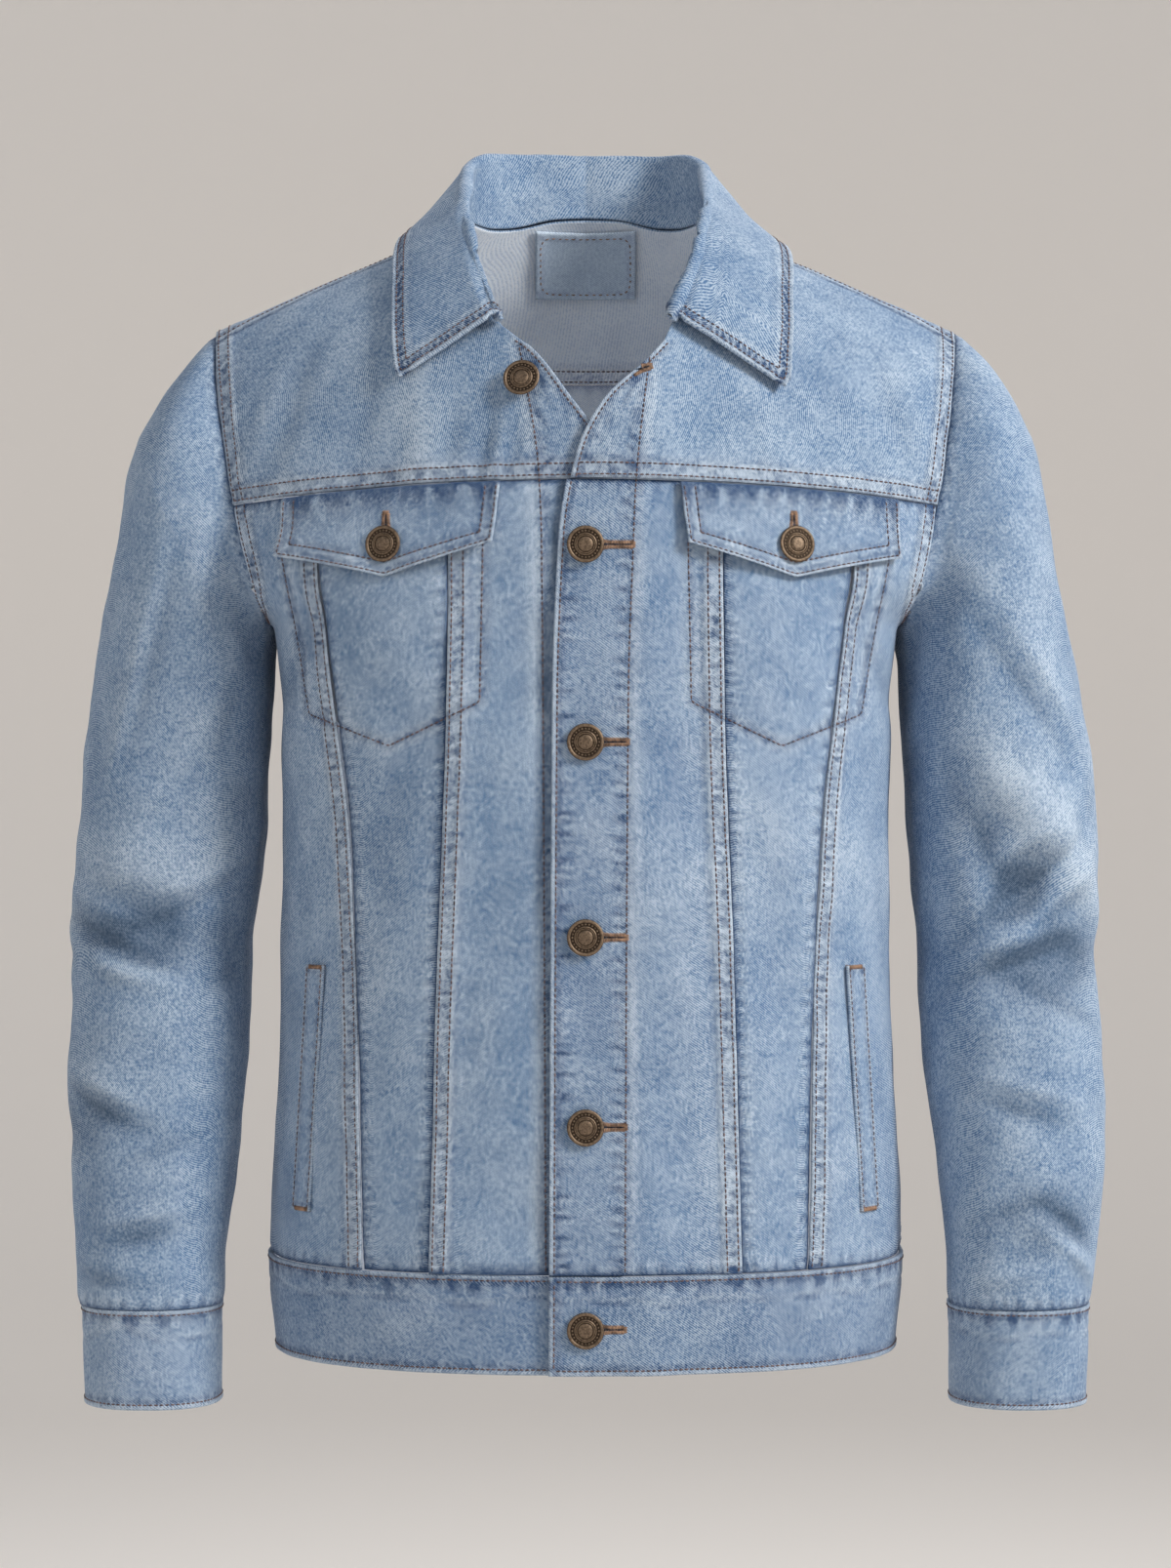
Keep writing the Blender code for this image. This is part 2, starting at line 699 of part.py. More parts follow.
def waistband():
    """An open ring, from the end that laps over, round by the wearer's left, to the one below."""
    heights = np.linspace(BODY_END, HEM, 4)
    rows = []
    for height in heights:
        half = float(read(TRUNK, "half_width", height))
        start = float(side_angle(read(FRONT_EDGE["left"], "across", height), height))
        end = float(side_angle(read(FRONT_EDGE["right"], "across", height), height))
        angles = np.linspace(-start, 2 * math.pi + end, 47)
        power = 2 / float(read(TRUNK, "fullness", height))
        sine = np.sign(np.sin(angles)) * np.abs(np.sin(angles)) ** power
        cosine = np.sign(np.cos(angles)) * np.abs(np.cos(angles)) ** power
        depth = np.where(
            cosine > 0, read(TRUNK, "front", height), read(TRUNK, "back", height)
        )
        lap = np.where(angles < math.pi, BAND_LAP, 0.0)
        near = ease((LAP_NONE - half * sine) / (LAP_NONE - LAP_FULL)) * (cosine > 0)
        x = (half + BAND_OUT) * sine
        y = -(depth + BAND_OUT) * cosine - lap * near
        rows.append(np.stack([x, y, np.full_like(x, height)], axis=-1))
    return np.array(rows)


def on_front(side, rows, columns, across, height):
    """A grid on the front surface; across and height are functions of the shares (down, along)."""
    grid = np.zeros((rows, columns, 3))
    for row, down in enumerate(np.linspace(0, 1, rows)):
        for column, along in enumerate(np.linspace(0, 1, columns)):
            x = across(down, along)
            grid[row, column] = body(x, height(down, along, x), FRONT)
    grid[..., 0] *= SIDES[side]
    return lapped(grid) if side == "left" else grid


def pocket_flap(side):
    shift = FLAP_SHIFT[side]
    inner, outer, point = (FLAP[name] + shift for name in ("inner", "outer", "point"))

    def across(down, along):
        return inner + (outer - inner) * along + FLAP_FLARE * down * (1 - along)

    def height(down, along, x):
        if x < point:
            near = (x - inner) / (point - inner)
        else:
            near = (outer - x) / (outer - point)
        drop = FLAP["side"] + (FLAP["tip"] - FLAP["side"]) * min(1.0, max(0.0, near))
        return front_yoke_seam(x) - FLAP_DROP - drop * down

    grid = on_front(side, 4, 9, across, height)
    return moved_out(grid, FLAP_GAP + DOUBLED)


def chest_pocket(side):
    def across(down, along):
        return POCKET["inner"] + (POCKET["outer"] - POCKET["inner"]) * along * (1 - POCKET_TAPER * down)

    def height(down, along, x):
        tip = 1 - abs(2 * along - 1)
        end = POCKET["side"] + (POCKET["tip"] - POCKET["side"]) * tip
        return POCKET["top"] + (end - POCKET["top"]) * down

    grid = on_front(side, 6, 9, across, height)
    return moved_out(grid, -CLOTH - POCKET_GAP)


def pocket_welt(side):
    def across(down, along):
        start = WELT["across_top"] + (WELT["across_end"] - WELT["across_top"]) * down
        return start + WELT["width"] * (along - 0.5)

    def height(down, along, x):
        return WELT["top"] + (WELT["end"] - WELT["top"]) * down

    return moved_out(on_front(side, 7, 3, across, height), WELT_GAP + CLOTH)


def neck_patch():
    rows = []
    for height in np.linspace(PATCH["top"], PATCH["end"], 4):
        across = np.linspace(-PATCH["half_width"], PATCH["half_width"], 6)
        rows.append(body(across, height, BACK))
    return moved_out(np.array(rows), -CLOTH - PATCH_GAP)


def paint(thing, finish):
    """Gives an object a material of its own."""
    colour, roughness, metallic = COLOURS[finish]
    material = bpy.data.materials.new(thing.name)
    material.use_nodes = True
    shader = material.node_tree.nodes["Principled BSDF"]
    shader.inputs["Base Color"].default_value = colour
    shader.inputs["Roughness"].default_value = roughness
    shader.inputs["Metallic"].default_value = metallic
    thing.data.materials.append(material)


def wall(name, grid, thickness, parts, ring=False, centre=BODY_MIDDLE):
    """A cloth wall whose visible side is the grid and whose thickness lies behind it."""
    rows, columns = grid.shape[:2]
    mesh = bpy.data.meshes.new(name)
    edit = bmesh.new()
    points = [[edit.verts.new(point) for point in row] for row in grid]
    for row in range(rows - 1):
        for column in range(columns if ring else columns - 1):
            after = (column + 1) % columns
            edit.faces.new(
                (
                    points[row][column],
                    points[row][after],
                    points[row + 1][after],
                    points[row + 1][column],
                )
            )
    edit.normal_update()
    edit.faces.ensure_lookup_table()
    last = [face for face in edit.faces][-(columns - 1):]
    middle = Vector(centre)
    looks_out = sum(face.normal.dot(face.calc_center_median() - middle) for face in last)
    if looks_out < 0:
        bmesh.ops.reverse_faces(edit, faces=edit.faces[:])
    edit.to_mesh(mesh)
    edit.free()
    mesh.shade_smooth()
    thing = bpy.data.objects.new(name, mesh)
    parts.objects.link(thing)
    solid = thing.modifiers.new("Cloth", "SOLIDIFY")
    solid.thickness = thickness
    solid.offset = -1
    paint(thing, "denim")
    return thing


def cut_slot(thing, place, normal, size, cutters):
    """Cuts a buttonhole, a box of the given size, through one wall, square to the button's shank."""
    mesh = bpy.data.meshes.new(f"cut_{thing.name}_{len(cutters.objects)}")
    edit = bmesh.new()
    bmesh.ops.create_cube(edit, size=1.0)
    bmesh.ops.scale(edit, vec=size, verts=edit.verts)
    edit.to_mesh(mesh)
    edit.free()
    cutter = bpy.data.objects.new(mesh.name, mesh)
    cutter.location = place
    cutter.rotation_euler = Vector(normal).to_track_quat("-Y", "Z").to_euler()
    cutter.hide_render = True
    cutter.display_type = "WIRE"
    cutters.objects.link(cutter)
    slot = thing.modifiers.new("Buttonhole", "BOOLEAN")
    slot.operation = "DIFFERENCE"
    slot.object = cutter


def button_mesh():
    """Half the outline of a button, from the middle of its cap down to its seat."""
    top = CAP_RISE + CAP_HEIGHT
    outline = (
        (0.0, top),
        (CAP_RADIUS * 0.45, top - 0.0002),
        (CAP_RADIUS * 0.85, top - 0.0009),
        (CAP_RADIUS, top - 0.0018),
        (CAP_RADIUS * 0.94, CAP_RISE),
        (SHANK_RADIUS, CAP_RISE),
        (SHANK_RADIUS, SEAT_GAP),
        (0.0, SEAT_GAP),
    )
    mesh = bpy.data.meshes.new("button")
    edit = bmesh.new()
    points = [edit.verts.new((across, 0.0, up)) for across, up in outline]
    for first, second in zip(points, points[1:]):
        edit.edges.new((first, second))
    edit.to_mesh(mesh)
    edit.free()
    return mesh


def button(name, place, normal, mesh, parts):
    """A turned button standing on its seat and facing along the normal."""
    thing = bpy.data.objects.new(name, mesh.copy())
    thing.location = place
    thing.rotation_euler = Vector(normal).to_track_quat("Z", "Y").to_euler()
    turned = thing.modifiers.new("Turned", "SCREW")
    turned.steps = BUTTON_STEPS
    turned.render_steps = BUTTON_STEPS
    turned.use_merge_vertices = True
    turned.merge_threshold = 0.0001
    turned.use_smooth_shade = True
    parts.objects.link(thing)
    paint(thing, "brass")


def front_seat(across, height):
    """A place on the front's surface with its outward direction."""
    step = 0.004
    place = body(across, height, FRONT)
    side = body(across + step, height, FRONT) - body(across - step, height, FRONT)
    down = body(across, height - step, FRONT) - body(across, height + step, FRONT)
    normal = np.cross(down, side)
    if normal[1] > 0:
        normal = -normal
    return place, normal / np.linalg.norm(normal)


def add_body(parts, cutters):
    for side in SIDES:
        wall(f"front_yoke_{side}", trimmed(front_yoke(side), top=SHOULDER_TRIM), CLOTH, parts)
        wall(f"front_centre_{side}", trimmed(front_centre(side)), CLOTH, parts)
        wall(f"front_middle_{side}", trimmed(front_middle(side)), CLOTH, parts)
        wall(f"front_side_{side}", trimmed(front_side(side)), CLOTH, parts)
        wall(f"back_side_{side}", trimmed(back_side(side)), CLOTH, parts)
    wall("back_centre", trimmed(back_centre()), CLOTH, parts)
    shoulder_trims = {"first": SHOULDER_TRIM, "last": SHOULDER_TRIM}
    wall("back_yoke", trimmed(back_yoke(), **shoulder_trims), CLOTH, parts)
    wall("neck_patch", neck_patch(), CLOTH, parts)
    band = wall("waistband", trimmed(waistband()), DOUBLED, parts)
    hole = (HOLE_LENGTH + 2 * HOLE_SIDE, HOLE_DEPTH, 2 * HOLE_SIDE)
    aside = np.array([HOLE_LENGTH / 2, 0, 0])
    lapping = bpy.data.objects["front_centre_left"]
    for height in FRONT_BUTTONS:
        place, normal = front_seat(0.0, height)
        cut_slot(lapping, place + aside, normal, hole, cutters)
    place, normal = front_seat(0.0, BAND_BUTTON)
    band_hole = (hole[0], 2 * BAND_LAP, hole[2])
    cut_slot(band, place + aside + normal * BAND_LAP, normal, band_hole, cutters)


def add_sleeves(parts):
    count = len(FRONT_TURNS)
    seam = count - 1 + BACK_SLEEVE_SEAM
    trims = {"top": ARMHOLE_TRIM, "first": SLEEVE_TRIM, "last": SLEEVE_TRIM}
    for side, sign in SIDES.items():
        rings = sleeve_rings(side)
        centre = (sign * SLEEVE_MIDDLE[0], *SLEEVE_MIDDLE[1:])
        upper = trimmed(rings[:, : seam + 1], **trims)
        under = trimmed(rings[:, seam:], **trims)
        wall(f"sleeve_upper_{side}", upper, CLOTH, parts, centre=centre)
        wall(f"sleeve_under_{side}", under, CLOTH, parts, centre=centre)
        band = trimmed(cuff(side), first=0, last=0)
        low = (sign * CUFF_MIDDLE[0], *CUFF_MIDDLE[1:])
        wall(f"cuff_{side}", band, DOUBLED, parts, ring=True, centre=low)


def add_collar(parts):
    """The collar's outer edge comes last, so that it sets which side of the wall shows."""
    wall("collar", collar().transpose(1, 0, 2), DOUBLED, parts)


def add_pockets(parts, cutters):
    for side, sign in SIDES.items():
        flap = wall(f"pocket_flap_{side}", pocket_flap(side), DOUBLED, parts)
        slot = (2 * HOLE_SIDE, HOLE_DEPTH, HOLE_LENGTH + 2 * HOLE_SIDE)
        mirror = np.array([float(sign), 1.0, 1.0])
        place, normal = front_seat(FLAP_BUTTON["across"] + FLAP_SHIFT[side], FLAP_BUTTON["height"])
        above = np.array([0, 0, HOLE_LENGTH / 2])
        cut_slot(flap, (place + above) * mirror, normal * mirror, slot, cutters)
        wall(f"chest_pocket_{side}", chest_pocket(side), POCKETING, parts)
        wall(f"pocket_welt_{side}", pocket_welt(side), CLOTH, parts)


def add_buttons(parts):
    mesh = button_mesh()
    place, normal = front_seat(abs(TOP_BUTTON["across"]), TOP_BUTTON["height"])
    mirror = np.array([-1.0, 1.0, 1.0])
    place = place - normal * TOP_BUTTON_SINK
    button("button_front_1", place * mirror, normal * mirror, mesh, parts)
    for number, height in enumerate(FRONT_BUTTONS, start=2):
        place, normal = front_seat(0.0, height)
        button(f"button_front_{number}", place, normal, mesh, parts)
    place, normal = front_seat(0.0, BAND_BUTTON)
    button("button_front_6", place + normal * BAND_OUT, normal, mesh, parts)
    for side, sign in SIDES.items():
        place, normal = front_seat(FLAP_BUTTON["across"] + FLAP_SHIFT[side], FLAP_BUTTON["height"])
        mirror = np.array([float(sign), 1.0, 1.0])
        button(f"button_flap_{side}", place * mirror, normal * mirror, mesh, parts)
    bpy.data.meshes.remove(mesh)


def main():
    clear_scene()
    parts = bpy.data.collections.new("denim_jacket")
    cutters = bpy.data.collections.new("cutters")
    bpy.context.scene.collection.children.link(parts)
    bpy.context.scene.collection.children.link(cutters)
    add_body(parts, cutters)
    add_sleeves(parts)
    add_collar(parts)
    add_pockets(parts, cutters)
    add_buttons(parts)


main()
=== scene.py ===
"""A long-sleeved denim jacket, filled out as if worn, around its CAD frame.

Metres, +Z up, the front towards -Y, the wearer's left towards +X. Every cut piece is a fine sheet on
the same form as its CAD wall, raised and pulled in along its seams, with folds where the cloth
gathers. The stitching, buttonholes and buttons are laid on the finished sheets.
"""

import math

import bpy
import numpy as np
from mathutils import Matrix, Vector
from mathutils.bvhtree import BVHTree


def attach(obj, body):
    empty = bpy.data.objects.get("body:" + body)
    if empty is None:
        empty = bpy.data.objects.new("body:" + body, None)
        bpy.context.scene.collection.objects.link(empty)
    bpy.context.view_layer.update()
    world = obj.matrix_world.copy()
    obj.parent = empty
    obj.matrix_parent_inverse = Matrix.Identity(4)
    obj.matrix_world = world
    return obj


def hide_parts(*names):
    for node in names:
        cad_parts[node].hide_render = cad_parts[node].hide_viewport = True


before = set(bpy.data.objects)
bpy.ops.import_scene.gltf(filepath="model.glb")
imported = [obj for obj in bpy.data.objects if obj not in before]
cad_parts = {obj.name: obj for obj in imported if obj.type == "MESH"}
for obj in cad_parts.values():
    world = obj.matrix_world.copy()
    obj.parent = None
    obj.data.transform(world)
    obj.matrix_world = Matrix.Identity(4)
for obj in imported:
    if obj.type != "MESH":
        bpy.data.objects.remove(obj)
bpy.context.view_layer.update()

bl_info = {
    "name": "Denim Jacket",
    "version": (1, 0, 0),
    "blender": (4, 5, 0),
    "location": "View3D > Sidebar > Jacket",
    "description": "Builds the sheets, stitching, buttons and stage of a denim jacket",
    "category": "Object",
}

FRONT = -1
BACK = 1
SIDES = {"left": 1, "right": -1}


def table_of(names, *rows):
    """A table of numbers: the names of its columns, and its rows."""
    return names.split(), rows


# Cloth walls and the gaps between them.
CLOTH = 0.0014
DOUBLED = 0.0024
POCKETING = 0.001
TRIM = 0.00022
POCKET_GAP = 0.0021
PATCH_GAP = 0.0011
FLAP_GAP = 0.0011
WELT_GAP = 0.0007
TOP_BUTTON_SINK = 0.0005

# Heights, from the base of the neck.
ARMHOLE_TOP = -0.0585
ARMPIT = -0.2335
YOKE_FRONT_CENTRE = -0.1535
YOKE_FRONT_DROP = 0.01
YOKE_BACK = -0.074
BODY_END = -0.591
HEM = -0.646

# The trunk: at each height its half width, its depth before and behind the middle, and how full
# its corners are, where 2 is an ellipse.
TRUNK = table_of(
    "height half_width front back fullness",
    (0.06, 0.24, 0.133, 0.135, 2.4),
    (-0.1, 0.238, 0.133, 0.136, 2.4),
    (-0.16, 0.229, 0.133, 0.137, 2.45),
    (-0.2, 0.212, 0.133, 0.137, 2.62),
    (-0.2335, 0.1795, 0.133, 0.1365, 3.05),
    (-0.27, 0.1768, 0.133, 0.135, 2.9),
    (-0.35, 0.176, 0.132, 0.131, 2.55),
    (-0.45, 0.1775, 0.131, 0.128, 2.4),
    (-0.53, 0.1812, 0.13, 0.127, 2.4),
    (-0.591, 0.1835, 0.129, 0.127, 2.4),
    (-0.646, 0.179, 0.126, 0.124, 2.4),
)
ROUNDING = {FRONT: 0.24, BACK: 0.2}

# The shoulder line, and the armhole as it looks from the front.
SHOULDER = table_of(
    "across height",
    (0.0, 0.046), (0.02, 0.042), (0.045, 0.0295), (0.075, 0.01), (0.112, -0.0135), (0.165, -0.036),
    (0.2146, -0.0585), (0.24, -0.072),
)
ARMHOLE = table_of(
    "height across",
    (-0.0585, 0.2146), (-0.091, 0.211), (-0.137, 0.2035), (-0.159, 0.1995), (-0.199, 0.1905),
    (-0.2335, 0.1795),
)

# The neckline, from the middle of the back over the shoulder to the top corner of the front.
# Turn is 0 on the shoulder line, negative behind it and positive before it.
NECKLINE = table_of(
    "along across turn",
    (0.0, 0.0, -0.52), (0.2, 0.03, -0.48), (0.38, 0.056, -0.36), (0.56, 0.075, 0.0),
    (0.7, 0.077, 0.3), (0.84, 0.069, 0.6), (1.0, 0.048, 0.91),
)
NECK_SHOULDER = 0.56
FRONT_TOP = -0.075

# The front edges, down from the top corner. The wearer's left front laps over the right one.
FRONT_EDGE = {
    "left": table_of(
        "height across",
        (-0.07, 0.048), (-0.088, 0.032), (-0.109, 0.01), (-0.135, -0.004), (-0.154, -0.0085),
        (-0.19, -0.015), (-0.27, -0.0185), (-0.646, -0.0205),
    ),
    "right": table_of(
        "height across",
        (-0.07, -0.044), (-0.079, -0.03), (-0.1045, -0.01), (-0.133, 0.009), (-0.154, 0.015),
        (-0.19, 0.019), (-0.27, 0.02), (-0.646, 0.02),
    ),
}
LAP = 0.0028
LAP_FULL = 0.03
LAP_NONE = 0.062

# The stitched edge of the doubled strip that carries the buttonholes and the buttons.
PLACKET = {
    "left": table_of(
        "height across",
        (-0.075, 0.037), (-0.092, 0.0345), (-0.16, 0.0274), (-0.19, 0.0262), (-0.27, 0.0235),
        (-0.646, 0.0214),
    ),
    "right": table_of(
        "height across",
        (-0.075, 0.0375), (-0.087, 0.035), (-0.15, 0.0256), (-0.19, 0.024), (-0.646, 0.0215),
    ),
}

# Seams that run down the body.
FRONT_SEAMS = table_of(
    "height inner outer",
    (-0.15, 0.0755, 0.1505), (-0.204, 0.0755, 0.148), (-0.285, 0.0765, 0.138),
    (-0.34, 0.0785, 0.132), (-0.45, 0.0825, 0.127), (-0.591, 0.0862, 0.124),
)
BACK_SEAM = table_of(
    "height across",
    (-0.074, 0.135), (-0.25, 0.123), (-0.591, 0.09),
)

# The sleeve: at each ring the highest, outermost point, the underarm point, the depth from front
# to back, the middle of that depth, and how far the ring's front and back bow outwards.
SLEEVE = table_of(
    "ring out_x out_z in_x in_z depth middle bow",
    (1, 0.2285, -0.0685, 0.1812, -0.237, 0.142, 0.0, 0.013),
    (2, 0.242, -0.0864, 0.1822, -0.241, 0.145, 0.0, 0.012),
    (3, 0.255, -0.1104, 0.183, -0.247, 0.147, 0.001, 0.009),
    (4, 0.2645, -0.139, 0.1834, -0.255, 0.147, 0.002, 0.006),
    (5, 0.2718, -0.1782, 0.1836, -0.266, 0.145, 0.003, 0.003),
    (6, 0.28, -0.22, 0.1838, -0.282, 0.142, 0.004, 0.001),
    (7, 0.2875, -0.265, 0.1842, -0.302, 0.138, 0.004, 0.0),
    (8, 0.2945, -0.32, 0.186, -0.337, 0.132, 0.003, 0.0),
    (9, 0.2975, -0.37, 0.189, -0.377, 0.125, 0.0, 0.0),
    (10, 0.2975, -0.407, 0.193, -0.41, 0.118, -0.004, 0.0),
    (11, 0.2975, -0.44, 0.194, -0.44, 0.113, -0.009, 0.0),
    (12, 0.299, -0.48, 0.196, -0.48, 0.108, -0.015, 0.0),
    (13, 0.2985, -0.523, 0.201, -0.523, 0.102, -0.022, 0.0),
    (14, 0.2955, -0.566, 0.205, -0.566, 0.096, -0.028, 0.0),
    (15, 0.2925, -0.594, 0.2075, -0.594, 0.09, -0.032, 0.0),
    (16, 0.29, -0.618, 0.208, -0.618, 0.084, -0.035, 0.0),
)
CUFF = table_of(
    "ring out_x out_z in_x in_z depth middle bow",
    (0, 0.289, -0.618, 0.2085, -0.618, 0.083, -0.035, 0.0),
    (1, 0.288, -0.645, 0.209, -0.645, 0.082, -0.036, 0.0),
    (2, 0.2865, -0.6735, 0.209, -0.6735, 0.081, -0.038, 0.0),
)
RING_SQUARENESS = 2.25
RING_STEPS = 24
BACK_YOKE_STEPS = 3
YOKE_RIM_STEPS = 6
BACK_SLEEVE_SEAM = 6

# Folds of the sleeves: the middle of the fold by its turn round the sleeve (0 outside, 90 in
# front) and its height, its lean from level, its half length and half width, and how far it
# stands out, or in where that is negative.
FOLDS = {
    "right": table_of(
        "turn height lean length width rise",
        (125, -0.18, -58, 0.06, 0.016, -0.005), (95, -0.405, -14, 0.06, 0.016, -0.007),
        (100, -0.375, -10, 0.06, 0.018, 0.004), (20, -0.52, 8, 0.05, 0.018, -0.003),
        (124, -0.2, -66, 0.05, 0.008, -0.0034), (103, -0.195, -76, 0.06, 0.009, 0.0034),
        (79, -0.242, 78, 0.07, 0.009, -0.0026), (64, -0.27, 80, 0.06, 0.009, 0.0024),
        (124, -0.29, 62, 0.048, 0.008, -0.003), (106, -0.295, 62, 0.05, 0.008, 0.0026),
        (62, -0.413, -18, 0.04, 0.0058, -0.0048), (56, -0.392, -15, 0.038, 0.01, 0.0042),
        (68, -0.426, -12, 0.036, 0.006, 0.0026), (126, -0.383, 26, 0.032, 0.006, -0.004),
        (130, -0.368, 24, 0.032, 0.007, 0.0032), (138, -0.432, 14, 0.024, 0.006, -0.0032),
        (60, -0.507, -20, 0.032, 0.0065, -0.0032), (64, -0.494, -20, 0.034, 0.007, 0.0026),
        (110, -0.528, 16, 0.03, 0.006, -0.0024), (96, -0.578, 10, 0.036, 0.006, -0.0032),
        (96, -0.564, 9, 0.036, 0.006, 0.0028), (58, -0.603, -8, 0.03, 0.0055, -0.0024),
        (150, -0.33, 20, 0.04, 0.01, -0.0022), (300, -0.39, 10, 0.06, 0.012, -0.004),
        (250, -0.425, -8, 0.05, 0.01, 0.0026), (230, -0.2, 40, 0.06, 0.012, -0.003),
        (280, -0.29, 18, 0.06, 0.014, 0.0022), (290, -0.54, -6, 0.045, 0.01, -0.0022),
        (0, -0.42, 4, 0.04, 0.01, -0.0018),
    ),
    "left": table_of(
        "turn height lean length width rise",
        (70, -0.345, 52, 0.07, 0.018, 0.006), (100, -0.37, 50, 0.06, 0.018, -0.006),
        (60, -0.425, -8, 0.05, 0.016, -0.005), (80, -0.575, -5, 0.05, 0.018, -0.003),
        (134, -0.2, -70, 0.05, 0.008, -0.0032), (110, -0.195, -76, 0.06, 0.009, 0.003),
        (76, -0.27, 56, 0.06, 0.009, -0.0024), (60, -0.262, 56, 0.055, 0.009, 0.0022),
        (132, -0.337, 70, 0.05, 0.008, 0.0032), (114, -0.337, 70, 0.048, 0.008, -0.0032),
        (96, -0.39, -37, 0.056, 0.0062, -0.006), (101, -0.368, -36, 0.05, 0.0095, 0.0046),
        (78, -0.396, -37, 0.044, 0.0075, 0.0036), (104, -0.428, -18, 0.042, 0.0058, -0.0046),
        (104, -0.415, -18, 0.038, 0.0055, 0.0026), (60, -0.448, 22, 0.036, 0.007, -0.0024),
        (98, -0.507, 15, 0.032, 0.0065, -0.0028), (92, -0.492, 14, 0.034, 0.007, 0.0024),
        (52, -0.588, 28, 0.03, 0.0058, 0.0036), (56, -0.573, 26, 0.03, 0.0055, -0.0032),
        (108, -0.566, -16, 0.03, 0.006, -0.0028), (112, -0.6, -8, 0.03, 0.0055, 0.0024),
        (300, -0.4, -12, 0.06, 0.012, -0.0042), (255, -0.43, 8, 0.05, 0.01, 0.0026),
        (230, -0.19, -42, 0.06, 0.012, -0.0028), (285, -0.28, -20, 0.06, 0.014, 0.0022),
        (285, -0.53, 7, 0.045, 0.01, -0.0022),
    ),
}
SLEEVE_RADIUS = 0.058
BROAD_FOLD = 0.011

# The sleeve's head is smoothed over its first rings, so that it rolls out of the armhole.
HEAD_RINGS = 3.2
HEAD_PASSES = 160
SLEEVE_COLUMNS = {"upper": 92, "under": 40}
CUFF_COLUMNS = 111

# Folds of the body, seen from the front or from behind: their middle, lean, half length, half
# width and rise.
BODY_FOLDS = {
    FRONT: table_of(
        "across height lean length width rise",
        (-0.054, -0.13, 76, 0.026, 0.0045, -0.0026), (-0.047, -0.132, 78, 0.026, 0.004, 0.002),
        (-0.04, -0.136, 80, 0.02, 0.004, -0.002), (-0.074, -0.13, 84, 0.024, 0.005, -0.0014),
        (-0.092, -0.118, 84, 0.04, 0.01, 0.002), (-0.122, -0.112, 80, 0.044, 0.009, -0.0016),
        (-0.168, -0.118, 74, 0.04, 0.008, -0.0018), (-0.186, -0.128, 72, 0.036, 0.008, 0.0014),
        (0.1, -0.126, -82, 0.034, 0.01, 0.0012), (0.176, -0.12, -72, 0.038, 0.009, -0.0016),
        (-0.11, -0.35, 78, 0.08, 0.014, -0.0012), (0.104, -0.38, -80, 0.08, 0.014, -0.0012),
        (-0.062, -0.46, 84, 0.09, 0.014, -0.001), (0.058, -0.44, -84, 0.09, 0.014, 0.001),
        (-0.166, -0.26, 62, 0.036, 0.008, -0.002), (0.168, -0.262, -60, 0.036, 0.008, -0.002),
        (-0.15, -0.5, 82, 0.06, 0.012, 0.0012), (0.148, -0.52, -80, 0.06, 0.012, 0.0012),
    ),
    BACK: table_of(
        "across height lean length width rise",
        (-0.15, -0.19, 66, 0.07, 0.012, -0.0024), (0.152, -0.2, -64, 0.07, 0.012, -0.0024),
        (-0.168, -0.235, 58, 0.05, 0.009, 0.0018), (0.168, -0.24, -56, 0.05, 0.009, 0.0018),
        (-0.04, -0.33, 86, 0.12, 0.016, 0.0014), (0.048, -0.36, -85, 0.12, 0.016, -0.0014),
        (-0.13, -0.45, 80, 0.08, 0.012, -0.0012), (0.126, -0.47, -80, 0.08, 0.012, 0.0014),
        (0.0, -0.54, 3, 0.09, 0.01, -0.0012),
    ),
}

# The collar, from the middle of the back (0) to its front end (1): its fold line in space, and its
# outer edge as a place on the shoulders, in the way the neckline is given.
COLLAR = table_of(
    "along fold_x fold_y fold_z edge_across edge_turn",
    (0.0, 0.0, 0.082, 0.0605, 0.0, -0.76),
    (0.2, 0.033, 0.0765, 0.06, 0.046, -0.62),
    (0.38, 0.059, 0.054, 0.057, 0.085, -0.39),
    (0.56, 0.07, 0.018, 0.043, 0.108, 0.0),
    (0.7, 0.0695, -0.034, 0.016, 0.1155, 0.33),
    (0.84, 0.064, -0.078, -0.018, 0.115, 0.64),
    (1.0, 0.0495, -0.1085, -0.06, 0.112, 0.9),
)

# How much narrower the wearer's right wing is, by the sign of its side.
COLLAR_SHORT = {1: 0.0, -1: 0.0085}
COLLAR_TIP = 0.035
COLLAR_TIP_ROUNDING = 0.045
FOLD_RADIUS = 0.0042
COLLAR_STANDOFF = 0.0068
STAND_LIFT = 0.0012

# Pieces that lie on the fronts.
FLAP = {"inner": 0.051, "outer": 0.1735, "point": 0.115, "side": 0.033, "tip": 0.05}
POCKET = {"inner": 0.057, "outer": 0.168, "side": -0.279, "tip": -0.301, "top": -0.166}
WELT = {"top": -0.4225, "end": -0.561, "across_top": 0.1505, "across_end": 0.159, "width": 0.011}
PATCH = {"half_width": 0.0315, "top": 0.014, "end": -0.023}
FLAP_FLARE = 0.004
FLAP_SHIFT = {"left": 0.0, "right": -0.005}
FLAP_LIFT = 0.0018
FLAP_CURL = {"left": 0.0012, "right": 0.0044}
FLAP_DROP = 0.001
POCKET_TAPER = 0.08
POCKET_OUTLINE = (
    (0.0562, -0.188),
    (0.058, -0.276),
    (0.1086, -0.3),
    (0.1544, -0.282),
    (0.1708, -0.188),
)

